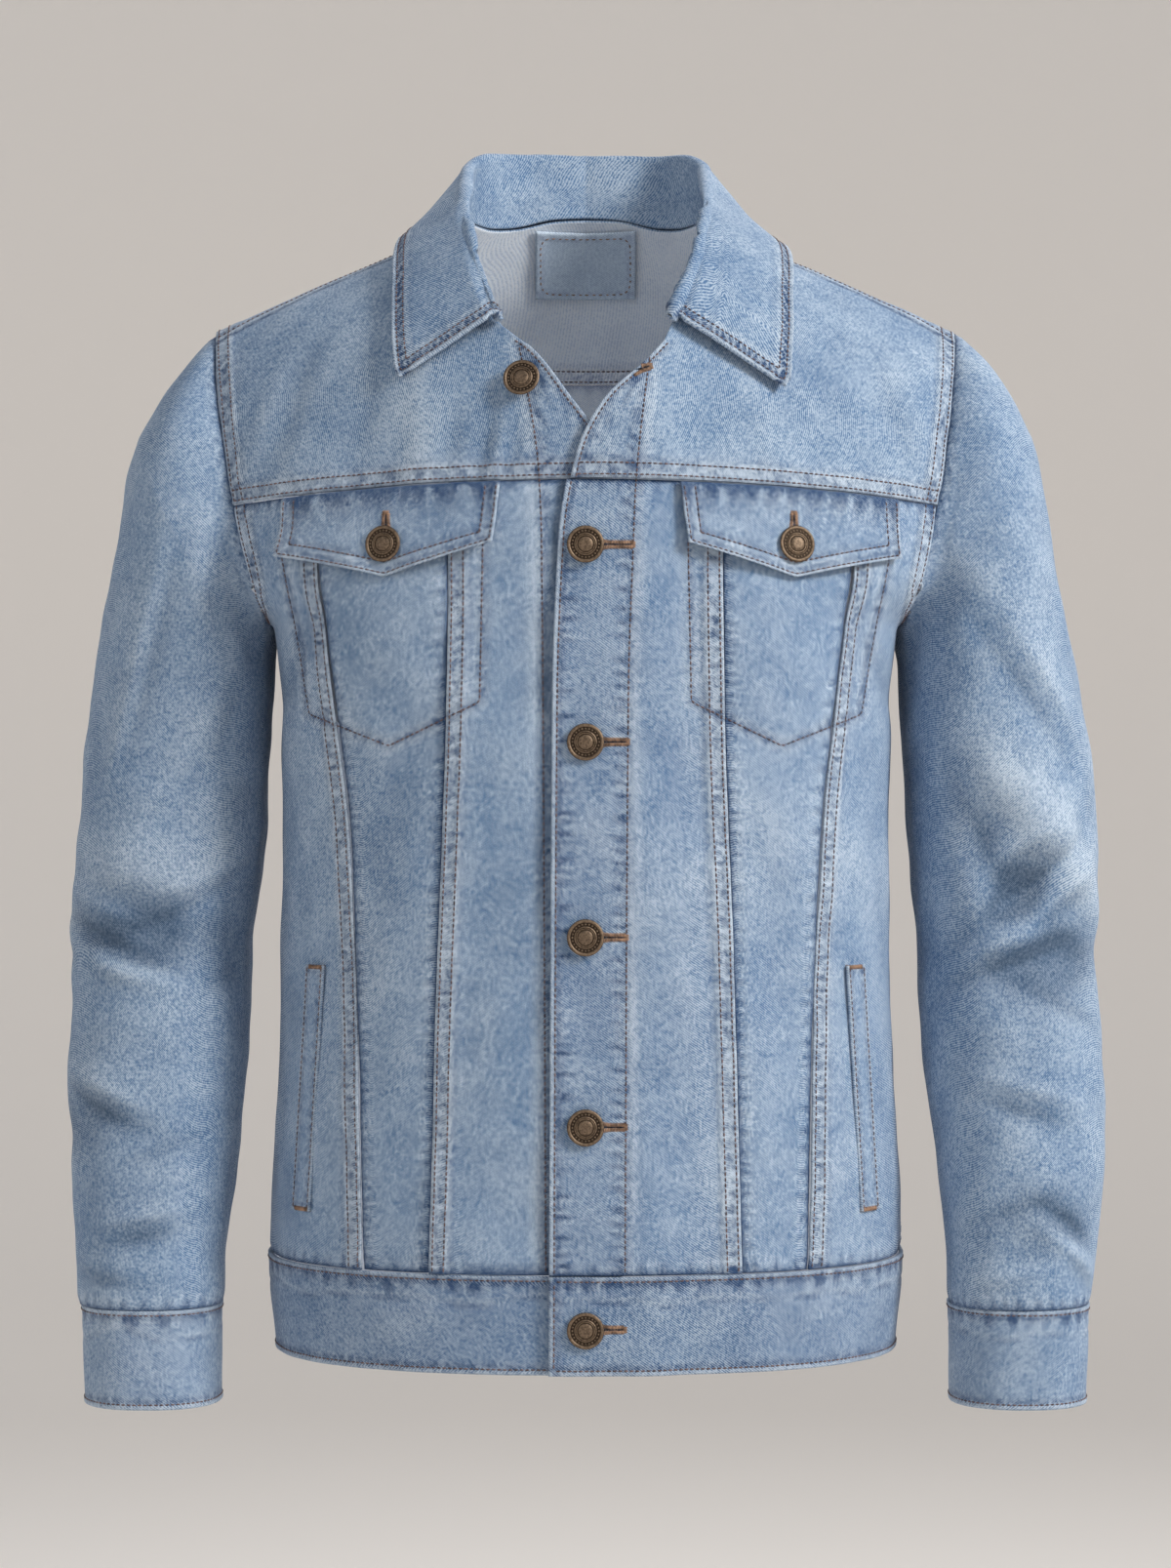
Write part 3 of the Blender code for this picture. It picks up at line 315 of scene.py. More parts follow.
# Buttons: a domed cap on a shank. They stand on the front that lies below the buttonhole.
CAP_RADIUS = 0.0102
CAP_RISE = 0.0044
SHANK_RADIUS = 0.003
SEAT_GAP = 0.0004
HOLE_LENGTH = 0.017
FRONT_BUTTONS = (-0.19, -0.298, -0.405, -0.509)
BAND_BUTTON = -0.62
TOP_BUTTON = {"across": -0.0345, "height": -0.0985}
TOP_HOLE = {"inner": 0.0255, "inner_height": -0.0935, "outer": 0.036, "height": -0.0905}
FLAP_BUTTON = {"across": 0.115, "height": -0.1895}
BAND_OUT = 0.0008
BAND_LAP = 0.0034

# How closely the sheets are divided, near a seam and away from it, and about how far each one
# reaches, which sets how many steps it is divided into.
FINE = 0.0013
MIDDLING = 0.0023
COARSE = 0.0036
NEAR_SEAM = 0.012
SPAN = {
    "front_yoke_down": 0.15,
    "front_yoke_across": 0.17,
    "front_centre_left": 0.098,
    "front_centre_right": 0.06,
    "front_middle": 0.06,
    "front_side": 0.125,
    "back_side": 0.15,
    "back_centre": 0.23,
    "back_yoke_along": 0.26,
    "back_yoke_across": 0.12,
    "cuff_down": 0.056,
    "collar_down": 0.115,
    "collar_along": 0.56,
    "waistband_down": 0.055,
    "waistband_round": 1.08,
    "pocket_flap_down": 0.048,
    "pocket_flap_across": 0.124,
}

# Seams: the ledge of a raised border and the distances of its rows of stitches.
LEDGE = 0.0009
ALLOWANCE = 0.0096
SHOULDER_STRIP = 0.02
SEAM_ROWS = (0.0019, 0.0084)
COLLAR_ROWS = (0.0034, 0.0082)
EDGE_ROW = (0.003,)
BAND_ROW = (0.0026,)
WELT_ROW = (0.0017,)
INNER_ROW = SEAM_ROWS[:1]
OUTER_ROW = SEAM_ROWS[1:]
STRIP_ROW = (SHOULDER_STRIP - 0.0034,)

# Rows of stitches along whole borders, on both sides of the jacket: the group they are made with,
# the piece, its border, their distances from it, and how much is left free at each end.
SIDE_ROWS = (
    ("body", "front_centre", "last", SEAM_ROWS, 0.001, 0.001),
    ("body", "front_side", "first", SEAM_ROWS, 0.001, 0.001),
    ("body", "front_yoke", "end", SEAM_ROWS, 0.003, 0.001),
    ("body", "front_yoke", "top", STRIP_ROW, 0.001, 0.001),
    ("body", "front_yoke", "last", SEAM_ROWS, 0.001, 0.001),
    ("body", "front_centre", "first", EDGE_ROW, 0.001, 0.001),
    ("sleeves", "sleeve_upper", "last", SEAM_ROWS, 0.004, 0.004),
    ("sleeves", "cuff", "top", BAND_ROW, 0.0, 0.0),
    ("sleeves", "cuff", "end", EDGE_ROW, 0.0, 0.0),
    ("pockets", "pocket_flap", "first", INNER_ROW, 0.002, 0.002),
    ("pockets", "pocket_flap", "first", OUTER_ROW, 0.002, 0.008),
    ("pockets", "pocket_welt", "first", WELT_ROW, 0.001, 0.001),
    ("pockets", "pocket_flap", "last", INNER_ROW, 0.002, 0.002),
    ("pockets", "pocket_flap", "last", OUTER_ROW, 0.002, 0.008),
    ("pockets", "pocket_welt", "last", WELT_ROW, 0.001, 0.001),
    ("pockets", "pocket_welt", "top", WELT_ROW, 0.002, 0.002),
    ("pockets", "pocket_welt", "end", WELT_ROW, 0.002, 0.002),
    ("pockets", "pocket_flap", "end", INNER_ROW, 0.002, 0.002),
    ("pockets", "pocket_flap", "end", OUTER_ROW, 0.008, 0.008),
)
THREAD_PITCH = 0.0031
THREAD_LENGTH = 0.0023
THREAD_WIDTH = 0.001
THREAD_RISE = 0.0004

# A place inside each wall's ring, which tells its outer side from its inner one.
BODY_MIDDLE = (0.0, 0.0, -0.3)
SLEEVE_MIDDLE = (0.24, 0.0, -0.4)
CUFF_MIDDLE = (0.248, -0.036, -0.66)

# The sheets that stitches and buttonholes are laid on from the front, where the rays that find them
# start, and how many points are measured at a time against an outline.
FRONT_PIECES = ("front_yoke", "front_centre", "front_middle", "front_side")
RAY_START = -0.5
CHUNK = 4000

# The colour of the painted shade of folds and under the lapped front, that of the painted shadow seen
# between the buttonholes' lips, and the height of the weave.
FOLD_SHADE = (0.04, 0.078, 0.14, 1)
SLIT_SHADOW_COLOUR = (0.012, 0.02, 0.035)
CLOTH_BUMP = 0.00045

# Each finished sheet's points and normals, by its name.
FINISHED = {}

# What each point of a sheet carries for its material: fading, with painted highlights on folds; dark
# dye, with painted shade in the hollows of folds, along seams that run in below another piece and over
# the waistband; the painted shade of folds and under the lapped front; and how near it is to a seam.
MASKS = ("wear", "deep", "shade", "seam")


def read(table, name, at):
    """A table's named column where its first column is at, along a smooth curve with no overshoot."""
    columns, rows = table
    rows = np.array(sorted(rows), dtype=float)
    keys = rows[:, 0]
    values = rows[:, columns.index(name)]
    steps = np.diff(keys)
    slopes = np.diff(values) / steps
    before = slopes[:-1]
    after = slopes[1:]
    rising = before * after > 0
    mean = np.where(rising, 2 * before * after / np.where(rising, before + after, 1), 0)
    tangents = np.concatenate([slopes[:1], mean, slopes[-1:]])
    at = np.asarray(at, dtype=float)
    place = np.clip(np.searchsorted(keys, at) - 1, 0, len(steps) - 1)
    share = np.clip((at - keys[place]) / steps[place], 0, 1)
    step = steps[place]
    return (
        values[place] * (2 * share**3 - 3 * share**2 + 1)
        + values[place + 1] * (3 * share**2 - 2 * share**3)
        + tangents[place] * step * (share**3 - 2 * share**2 + share)
        + tangents[place + 1] * step * (share**3 - share**2)
    )


def ease(value):
    """0 up to 0 and 1 from 1 on, with a soft change between."""
    value = np.clip(value, 0, 1)
    return value * value * (3 - 2 * value)


def hump(value, middle, width):
    """1 at the middle and 0 well away from it."""
    return np.exp(-(((value - middle) / width) ** 2))


def mixed(first, second, share):
    return first + (second - first) * share


def crown(across):
    return read(SHOULDER, "height", np.abs(across))


def turn_at(across, height, facing):
    """How far the surface has turned down from the shoulder line, in radians."""
    drop = np.clip((crown(across) - height) / ROUNDING[facing], 0, 1)
    return np.arccos(1 - drop)


def body(across, height, facing):
    """The outer surface of the trunk at a place seen from the front or from the back."""
    across = np.asarray(across, dtype=float)
    height = np.asarray(height, dtype=float)
    share = np.clip(np.abs(across) / read(TRUNK, "half_width", height), 0, 1)
    fullness = read(TRUNK, "fullness", height)
    hollow = (1 - share**fullness) ** (1 / fullness)
    depth = read(TRUNK, "front" if facing == FRONT else "back", height)
    out = facing * depth * hollow * np.sin(turn_at(across, height, facing))
    return np.stack(np.broadcast_arrays(across, out, height), axis=-1)


def shoulders(across, turn):
    """The same surface by its turn from the shoulder line, negative behind it."""
    across = np.asarray(across, dtype=float)
    turn = np.asarray(turn, dtype=float)
    rounding = np.where(turn < 0, ROUNDING[BACK], ROUNDING[FRONT])
    height = crown(across) - rounding * (1 - np.cos(turn))
    behind = body(across, height, BACK)
    before = body(across, height, FRONT)
    return np.where((turn < 0)[..., None], behind, before)


def side_angle(across, height):
    """The angle round the trunk, a quarter turn at the side seam."""
    share = np.clip(np.abs(across) / read(TRUNK, "half_width", height), 0, 1)
    return np.arcsin(share ** (read(TRUNK, "fullness", height) / 2))


def round_side(angle, height, facing):
    """The trunk by its angle, which keeps its steps even where the wall turns to the side."""
    angle = np.asarray(angle, dtype=float)
    height = np.asarray(height, dtype=float)
    power = 2 / read(TRUNK, "fullness", height)
    across = read(TRUNK, "half_width", height) * np.abs(np.sin(angle)) ** power
    depth = read(TRUNK, "front" if facing == FRONT else "back", height)
    out = np.abs(np.cos(angle)) ** power * np.sin(turn_at(across, height, facing))
    return np.stack([across, facing * depth * out, height], axis=-1)


def lapped(points):
    """Lifts the wearer's left front where it lies over the right one."""
    points = points.copy()
    points[..., 1] -= LAP * ease((LAP_NONE - points[..., 0]) / (LAP_NONE - LAP_FULL))
    return points


def front_yoke_seam(across):
    return YOKE_FRONT_CENTRE - YOKE_FRONT_DROP * (np.asarray(across) / 0.2) ** 2


def turn_on_armhole(seam):
    """The turn round the armhole, from its top, at which a seam meets it."""
    share = (ARMHOLE_TOP - seam) / (ARMHOLE_TOP - ARMPIT)
    return math.acos(1 - 2 * share)


def armhole_height(turns):
    return ARMHOLE_TOP + (ARMPIT - ARMHOLE_TOP) * (1 - np.cos(turns)) / 2


def armhole(height, facing):
    across = read(ARMHOLE, "across", height)
    return body(across, height, facing)


FRONT_ARM_SEAM = float(front_yoke_seam(read(ARMHOLE, "across", -0.1635)))
FRONT_YOKE_TURN = turn_on_armhole(FRONT_ARM_SEAM)
BACK_YOKE_TURN = turn_on_armhole(YOKE_BACK)
LOWER_BACK_STEPS = RING_STEPS // 2 - BACK_YOKE_STEPS
SLEEVE_SEAM_TURN = mixed(
    BACK_YOKE_TURN, math.pi, (BACK_SLEEVE_SEAM - BACK_YOKE_STEPS) / LOWER_BACK_STEPS
)


def spread(length, fine=FINE, coarse=COARSE):
    """Shares from 0 to 1 along a length, closer together near both of its ends."""
    if length < 2.5 * NEAR_SEAM:
        return np.linspace(0, 1, max(3, round(length / fine) + 1))
    near = np.linspace(0, NEAR_SEAM / length, round(NEAR_SEAM / fine) + 1)
    count = round((length - 2 * NEAR_SEAM) / coarse) + 1
    middle = np.linspace(near[-1], 1 - near[-1], count)
    return np.concatenate([near, middle[1:-1], 1 - near[::-1]])


def outward(grid, centre):
    """Unit normals of a grid of points, turned so that its last row looks away from the centre."""
    down = np.gradient(grid, axis=0)
    across = np.gradient(grid, axis=1)
    normals = np.cross(across, down)
    normals = normals / (np.linalg.norm(normals, axis=-1, keepdims=True) + 1e-12)
    looks_out = (normals[-2] * (grid[-2] - np.array(centre))).sum()
    return normals if looks_out > 0 else -normals


def moved_out(grid, distance, centre=BODY_MIDDLE):
    """The grid moved away from the middle of the body along its normals."""
    return grid + outward(grid, centre) * distance


def trimmed(grid, amount=TRIM):
    """Draws each border of a grid back towards its neighbour row, to leave a gap at the seam."""
    grid = grid.copy()
    for border, neighbour in ((0, 1), (-1, -2)):
        step = grid[neighbour] - grid[border]
        grid[border] += step * amount / (np.linalg.norm(step, axis=-1, keepdims=True) + 1e-9)
    for border, neighbour in ((0, 1), (-1, -2)):
        step = grid[:, neighbour] - grid[:, border]
        grid[:, border] += step * amount / (np.linalg.norm(step, axis=-1, keepdims=True) + 1e-9)
    return grid


def front_yoke(side):
    """From the shoulder line to the yoke seam, and from the neckline and front edge to the armhole."""
    sign = SIDES[side]
    heights = armhole_height(np.linspace(0, FRONT_YOKE_TURN, 300))
    arm = read(ARMHOLE, "across", heights)
    arm_down = turn_at(arm, heights, FRONT) / turn_at(arm, front_yoke_seam(arm), FRONT)
    alongs = np.linspace(NECK_SHOULDER, 1, 60)
    neck = read(NECKLINE, "across", alongs)
    edge_heights = np.linspace(FRONT_TOP, YOKE_FRONT_CENTRE, 60)
    edge = sign * read(FRONT_EDGE[side], "across", edge_heights)
    neck_down = read(NECKLINE, "turn", alongs) / turn_at(neck, front_yoke_seam(neck), FRONT)
    edge_down = turn_at(edge, edge_heights, FRONT) / turn_at(edge, front_yoke_seam(edge), FRONT)
    downs = spread(SPAN["front_yoke_down"], coarse=0.0028)
    inner_downs = np.concatenate([neck_down, np.minimum(edge_down, 1)])
    inner = np.interp(downs, inner_downs, np.concatenate([neck, edge]))
    outer = np.interp(downs, arm_down, arm)
    shares = spread(SPAN["front_yoke_across"], coarse=0.003)
    across = mixed(inner[:, None], outer[:, None], shares)
    turns = downs[:, None] * turn_at(across, front_yoke_seam(across), FRONT)
    grid = shoulders(across, turns)
    grid[..., 0] *= sign
    return lapped(grid) if side == "left" else grid


def lower_rows(seam_at_arm, coarse):
    """Heights of the rows below a yoke, and how much each still follows the yoke seam's slope."""
    heights = mixed(seam_at_arm, BODY_END, spread(seam_at_arm - BODY_END, coarse=coarse))
    follow = np.clip((heights - ARMPIT) / (seam_at_arm - ARMPIT), 0, 1)
    return heights, follow


def front_strip(first, last, width):
    """A front panel between two seams, each a function of the height."""
    heights, follow = lower_rows(FRONT_ARM_SEAM, MIDDLING)
    shares = spread(width)
    across = mixed(first(heights)[:, None], last(heights)[:, None], shares)
    rise = follow[:, None] * (front_yoke_seam(across) - FRONT_ARM_SEAM)
    return body(across, heights[:, None] + rise, FRONT)


def front_centre(side):
    sign = SIDES[side]
    grid = front_strip(
        lambda height: sign * read(FRONT_EDGE[side], "across", height),
        lambda height: read(FRONT_SEAMS, "inner", height),
        SPAN[f"front_centre_{side}"],
    )
    grid[..., 0] *= sign
    return lapped(grid) if side == "left" else grid


def front_middle(side):
    grid = front_strip(
        lambda height: read(FRONT_SEAMS, "inner", height),
        lambda height: read(FRONT_SEAMS, "outer", height),
        SPAN["front_middle"],
    )
    grid[..., 0] *= SIDES[side]
    return grid


def side_strip(heights, follow, seam, facing, width, slope):
    """A side panel, from its style seam to the armhole and, below the armpit, the side seam."""
    inner = side_angle(seam(heights), heights)
    at_arm = side_angle(read(ARMHOLE, "across", heights), heights)
    outer = np.where(heights > ARMPIT, at_arm, math.pi / 2)
    angles = mixed(inner[:, None], outer[:, None], spread(width))
    level = np.repeat(heights[:, None], angles.shape[1], axis=1)
    for _ in range(3):
        power = 2 / read(TRUNK, "fullness", level)
        across = read(TRUNK, "half_width", level) * np.sin(angles) ** power
        level = heights[:, None] + follow[:, None] * slope(across)
    grid = round_side(angles, level, facing)
    above = heights > ARMPIT
    grid[above, -1] = armhole(heights[above], facing)
    return grid


def front_side(side):
    heights, follow = lower_rows(FRONT_ARM_SEAM, MIDDLING)
    grid = side_strip(
        heights,
        follow,
        lambda height: read(FRONT_SEAMS, "outer", height),
        FRONT,
        SPAN["front_side"],
        lambda across: np.maximum(front_yoke_seam(across) - FRONT_ARM_SEAM, 0),
    )
    grid[..., 0] *= SIDES[side]
    return grid


def back_side(side):
    heights, follow = lower_rows(YOKE_BACK, COARSE)
    grid = side_strip(
        heights,
        follow,
        lambda height: read(BACK_SEAM, "across", height),
        BACK,
        SPAN["back_side"],
        lambda across: 0 * across,
    )
    grid[..., 0] *= SIDES[side]
    return grid


def back_centre():
    heights, _ = lower_rows(YOKE_BACK, COARSE)
    half = read(BACK_SEAM, "across", heights)[:, None]
    return body(mixed(-half, half, spread(SPAN["back_centre"])), heights[:, None], BACK)


def back_yoke():
    """From the neckline out to the armholes and down to the yoke seam, shoulder to shoulder."""
    arm_part = BACK_YOKE_STEPS / (BACK_YOKE_STEPS + YOKE_RIM_STEPS)
    place = spread(SPAN["back_yoke_along"], coarse=0.003)[: -round(NEAR_SEAM / FINE)]
    place = place / place[-1]
    heights = armhole_height(BACK_YOKE_TURN * np.clip(place / arm_part, 0, 1))
    arm = read(ARMHOLE, "across", heights)
    rim_across = arm * np.clip((1 - place) / (1 - arm_part), 0, 1)
    rim_turn = -turn_at(rim_across, heights, BACK)
    alongs = NECK_SHOULDER * (1 - place)
    shares = spread(SPAN["back_yoke_across"], coarse=0.0028)[:, None]
    across = mixed(read(NECKLINE, "across", alongs), rim_across, shares)
    turns = mixed(read(NECKLINE, "turn", alongs), rim_turn, shares)
    half = shoulders(across, np.minimum(turns, -1e-9))
    other = half[:, ::-1][:, 1:].copy()
    other[..., 0] *= -1
    return np.concatenate([half, other], axis=1)


def ring_points(table, ring, turns, facing):
    """Points of sleeve or cuff rings at turns from the outer side, before or behind."""
    place = {name: read(table, name, ring) for name in table[0][1:]}
    cosine = np.sign(np.cos(turns)) * np.abs(np.cos(turns)) ** (2 / RING_SQUARENESS)
    sine = np.abs(np.sin(turns)) ** (2 / RING_SQUARENESS)
    middle_x = (place["out_x"] + place["in_x"]) / 2
    middle_z = (place["out_z"] + place["in_z"]) / 2
    x = middle_x + (place["out_x"] - place["in_x"]) / 2 * cosine + place["bow"] * np.sin(turns) ** 2
    y = place["middle"] + facing * place["depth"] / 2 * sine
    z = middle_z + (place["out_z"] - place["in_z"]) / 2 * cosine
    return np.stack(np.broadcast_arrays(x, y, z), axis=-1)


def fold_rise(table, first, second):
    """How far a table of folds pushes its cloth out at each point."""
    columns, rows = table
    total = np.zeros(np.shape(first))
    for row in rows:
        fold = dict(zip(columns, row))
        if "turn" in fold:
            along = np.angle(np.exp(1j * (first - math.radians(fold["turn"])))) * SLEEVE_RADIUS
        else:
            along = first - fold["across"]
        up = second - fold["height"]
        lean = math.radians(fold["lean"])
        lengthwise = along * math.cos(lean) + up * math.sin(lean)
        crosswise = up * math.cos(lean) - along * math.sin(lean)
        across_fold = np.abs(crosswise / fold["width"]) ** (2.0 if fold["width"] > BROAD_FOLD else 1.5)
        reach = np.exp(-((lengthwise / fold["length"]) ** 2) - across_fold)
        total += fold["rise"] * reach
    return total


def sleeve_rings(side, first_turn, last_turn, columns):
    """Rings of points from the armhole to the cuff, and how far their folds stand out.

    Turns run from pi, the underarm, by the front to 0 and on behind to -pi."""
    turns = np.linspace(first_turn, last_turn, columns)
    before = turns >= 0
    rough = np.linspace(0, 16, 600)
    line = ring_points(SLEEVE, np.maximum(rough, 1)[:, None], np.array([[0.6]]), FRONT)[:, 0]
    start = armhole(armhole_height(0.6), FRONT)
    near = rough < 1
    line[near] = mixed(start, line[~near][0], rough[near][:, None])
    length = reach_of(line)
    wanted = spread(length[-1], coarse=0.003) * length[-1]
    rings = np.interp(wanted, length, rough)
    hole = np.where(
        before[:, None],
        armhole(armhole_height(np.abs(turns)), FRONT),
        armhole(armhole_height(np.abs(turns)), BACK),
    )
    whole = np.maximum(rings, 1)[:, None]
    flat = np.abs(turns)[None, :]
    grid = np.where(
        before[None, :, None],
        ring_points(SLEEVE, whole, flat, FRONT),
        ring_points(SLEEVE, whole, flat, BACK),
    )
    share = np.clip(rings, 0, 1)[:, None, None]
    grid = mixed(hole[None], grid, share)
    head = int((rings < HEAD_RINGS).sum())
    for _ in range(HEAD_PASSES):
        grid[1:head] = (grid[:head - 1] + 2 * grid[1:head] + grid[2:head + 1]) / 4
    rise = fold_rise(FOLDS[side], turns[None, :] + 0 * grid[..., 2], grid[..., 2])
    inside = ease(np.cos(turns) + 0.8)[None, :]
    settle = (ease(wanted / 0.03) * ease((length[-1] - wanted) / 0.02))[:, None]
    rise = rise * np.maximum(inside, 0.35) * settle
    grid[..., 0] *= SIDES[side]
    return grid, rise


def cuff(side):
    turns = np.linspace(0, 2 * math.pi, CUFF_COLUMNS)
    facing = np.where(turns <= math.pi, FRONT, BACK)
    rings = mixed(0, 2, spread(SPAN["cuff_down"], coarse=0.0026))[:, None]
    grid = ring_points(CUFF, rings, turns[None, :], facing[None, :])
    grid[..., 0] *= SIDES[side]
    return grid


def surface_normal(across, turn):
    """The outward direction of the shoulders' surface at one place."""
    step = 1e-4
    start = -1 if turn < 0 else 1
    side = shoulders(across + step, turn) - shoulders(across - step, turn)
    down = (shoulders(across, turn + start * step) - shoulders(across, turn)) * start
    normal = np.cross(down, side)
    normal = normal / np.linalg.norm(normal)
    return normal if normal[2] > 0 or start * normal[1] < 0 else -normal


def collar_section(along, sign):
    """Points across the collar: up inside the neck, over the fold, and down to the outer edge."""
    across = float(read(NECKLINE, "across", along))
    turn = float(read(NECKLINE, "turn", along))
    normal = surface_normal(across, turn)
    seam = shoulders(across, turn) + normal * STAND_LIFT
    fold = np.array([float(read(COLLAR, name, along)) for name in ("fold_x", "fold_y", "fold_z")])
    short_side = COLLAR_SHORT[sign] * min(1.0, max(0.0, (along - 0.2) / 0.4))
    edge_across = float(read(COLLAR, "edge_across", along)) - short_side
    edge_turn = float(read(COLLAR, "edge_turn", along))
    edge = shoulders(edge_across, edge_turn)
    edge = edge + surface_normal(edge_across, edge_turn) * COLLAR_STANDOFF
    rounded = ease((along - 1 + COLLAR_TIP) / COLLAR_TIP) ** 2 * COLLAR_TIP_ROUNDING
    out = edge - seam
    out[2] = 0
    out /= np.linalg.norm(out)
    low = np.array([0, 0, FOLD_RADIUS])
    inner = fold - out * FOLD_RADIUS - low
    outer = fold + out * FOLD_RADIUS - low
    inner = inner + normal * max(0.0, FOLD_RADIUS - float((inner - seam) @ normal))
    outer = outer + normal * max(0.0, COLLAR_STANDOFF - float((outer - seam) @ normal))
    points = [mixed(seam, inner, share) for share in (0, 0.34, 0.67, 1)]
    middle = (inner + outer) / 2
    for angle in np.radians((144, 108, 72, 36)):
        points.append(middle + (outer - inner) / 2 * math.cos(angle) + (fold - middle) * math.sin(angle))
    for share in np.linspace(0, 1, 13):
        foot_across = across + (edge_across - across) * share
        foot_turn = turn + (edge_turn - turn) * share
        normal = surface_normal(foot_across, foot_turn)
        foot = shoulders(foot_across, foot_turn)
        point = mixed(outer, mixed(edge, outer, rounded), share)
        short = COLLAR_STANDOFF - float((point - foot) @ normal)
        points.append(point + normal * max(0.0, short))
    points = np.array(points)
    length = reach_of(points)
    wanted = spread(SPAN["collar_down"], coarse=0.0026) * length[-1]
    points = read_off(wanted, length, points)
    points[:, 0] *= sign
    return points


def collar():
    alongs = mixed(-1, 1, spread(SPAN["collar_along"], coarse=0.0022))
    return np.array([collar_section(abs(a), 1 if a >= 0 else -1) for a in alongs]).transpose(1, 0, 2)


def waistband():
    """An open ring, from the end that laps over, round by the wearer's left, to the one below."""
    shares = spread(SPAN["waistband_down"], coarse=0.0026)
    heights = mixed(BODY_END, HEM, shares)[:, None]
    half = read(TRUNK, "half_width", heights)
    start = side_angle(read(FRONT_EDGE["left"], "across", heights), heights)
    end = side_angle(read(FRONT_EDGE["right"], "across", heights), heights)
    angles = mixed(-start, 2 * math.pi + end, spread(SPAN["waistband_round"]))
    power = 2 / read(TRUNK, "fullness", heights)
    sine = np.sign(np.sin(angles)) * np.abs(np.sin(angles)) ** power
    cosine = np.sign(np.cos(angles)) * np.abs(np.cos(angles)) ** power
    depth = np.where(cosine > 0, read(TRUNK, "front", heights), read(TRUNK, "back", heights))
    lap = np.where(angles < math.pi, BAND_LAP, 0.0)
    near = ease((LAP_NONE - half * sine) / (LAP_NONE - LAP_FULL)) * (cosine > 0)
    x = (half + BAND_OUT) * sine
    y = -(depth + BAND_OUT) * cosine - lap * near
    return np.stack(np.broadcast_arrays(x, y, heights), axis=-1)


def on_front(side, downs, alongs, across, height):
    """A grid on the front surface; across and height are functions of the shares (down, along)."""
    x = across(downs[:, None], alongs[None, :])
    z = height(downs[:, None], alongs[None, :], x)
    grid = body(x, z, FRONT)
    grid[..., 0] *= SIDES[side]
    return lapped(grid) if side == "left" else grid


def pocket_flap(side):
    shift = FLAP_SHIFT[side]
    inner, outer, point = (FLAP[name] + shift for name in ("inner", "outer", "point"))

    def across(down, along):
        return mixed(inner, outer, along) + FLAP_FLARE * down * (1 - along)

    def height(down, along, x):
        inward = (x - inner) / (point - inner)
        near = np.clip(np.where(x < point, inward, (outer - x) / (outer - point)), 0, 1)
        drop = mixed(FLAP["side"], FLAP["tip"], near)
        return front_yoke_seam(x) - FLAP_DROP - drop * down

    downs = spread(SPAN["pocket_flap_down"], fine=0.0012)
    alongs = spread(SPAN["pocket_flap_across"], coarse=0.0022)
    grid = on_front(side, downs, alongs, across, height)
    return moved_out(grid, FLAP_GAP + DOUBLED)


def chest_pocket(side):
    def across(down, along):
        return mixed(POCKET["inner"], POCKET["outer"], along * (1 - POCKET_TAPER * down))

    def height(down, along, x):
        tip = 1 - abs(2 * along - 1)
        end = mixed(POCKET["side"], POCKET["tip"], tip)
        return mixed(POCKET["top"], end, down) + 0 * x

    grid = on_front(side, np.linspace(0, 1, 25), np.linspace(0, 1, 23), across, height)
    return moved_out(grid, -CLOTH - POCKET_GAP)


def pocket_welt(side):
    def across(down, along):
        return mixed(WELT["across_top"], WELT["across_end"], down) + WELT["width"] * (along - 0.5)

    def height(down, along, x):
        return mixed(WELT["top"], WELT["end"], down) + 0 * x

    grid = on_front(side, np.linspace(0, 1, 71), np.linspace(0, 1, 11), across, height)
    return moved_out(grid, WELT_GAP + CLOTH)


def neck_patch():
    heights = np.linspace(PATCH["top"], PATCH["end"], 31)[:, None]
    across = np.linspace(-PATCH["half_width"], PATCH["half_width"], 45)[None, :]
    return moved_out(body(across, heights, BACK), -CLOTH - PATCH_GAP)


def front_seat(across, height):
    """A place on the front's surface with its outward direction."""
    step = 0.004
    place = body(across, height, FRONT)
    side = body(across + step, height, FRONT) - body(across - step, height, FRONT)
    down = body(across, height - step, FRONT) - body(across, height + step, FRONT)
    normal = np.cross(down, side)
    if normal[1] > 0:
        normal = -normal
    return place, normal / np.linalg.norm(normal)


def ripple(points, size, seed):
    """A smooth uneven wave over space, between about -1 and 1, with humps of about the given size."""
    draw = np.random.default_rng(seed)
    total = np.zeros(points.shape[:-1])
    for _ in range(7):
        way = draw.normal(size=3)
        way /= np.linalg.norm(way)
        pace = math.pi / size * draw.uniform(0.7, 1.3)
        total += np.sin(points @ way * pace + draw.uniform(0, 2 * math.pi))
    return total / 3.2


def waver(along, size, seed):
    """The same along a line."""
    draw = np.random.default_rng(seed)
    total = np.zeros(np.shape(along))
    for _ in range(5):
        pace = 2 * math.pi / size * draw.uniform(0.55, 1.5)
        total += np.sin(along * pace + draw.uniform(0, 2 * math.pi))
    return total / 2.6


def reach_of(points):
    """How far each point lies along a line of points."""
    return np.concatenate([[0], np.cumsum(np.linalg.norm(np.diff(points, axis=0), axis=1))])


def read_off(wanted, reach, values):
    """Values known at each reach, at the wanted ones."""
    return np.stack([np.interp(wanted, reach, column) for column in values.T], axis=1)


def lengths(grid, axis):
    """How far each point of a grid lies along its row or column."""
    steps = np.linalg.norm(np.diff(grid, axis=axis), axis=-1)
    total = np.cumsum(steps, axis=axis)
    start = np.zeros_like(np.take(total, [0], axis=axis))
    return np.concatenate([start, total], axis=axis)


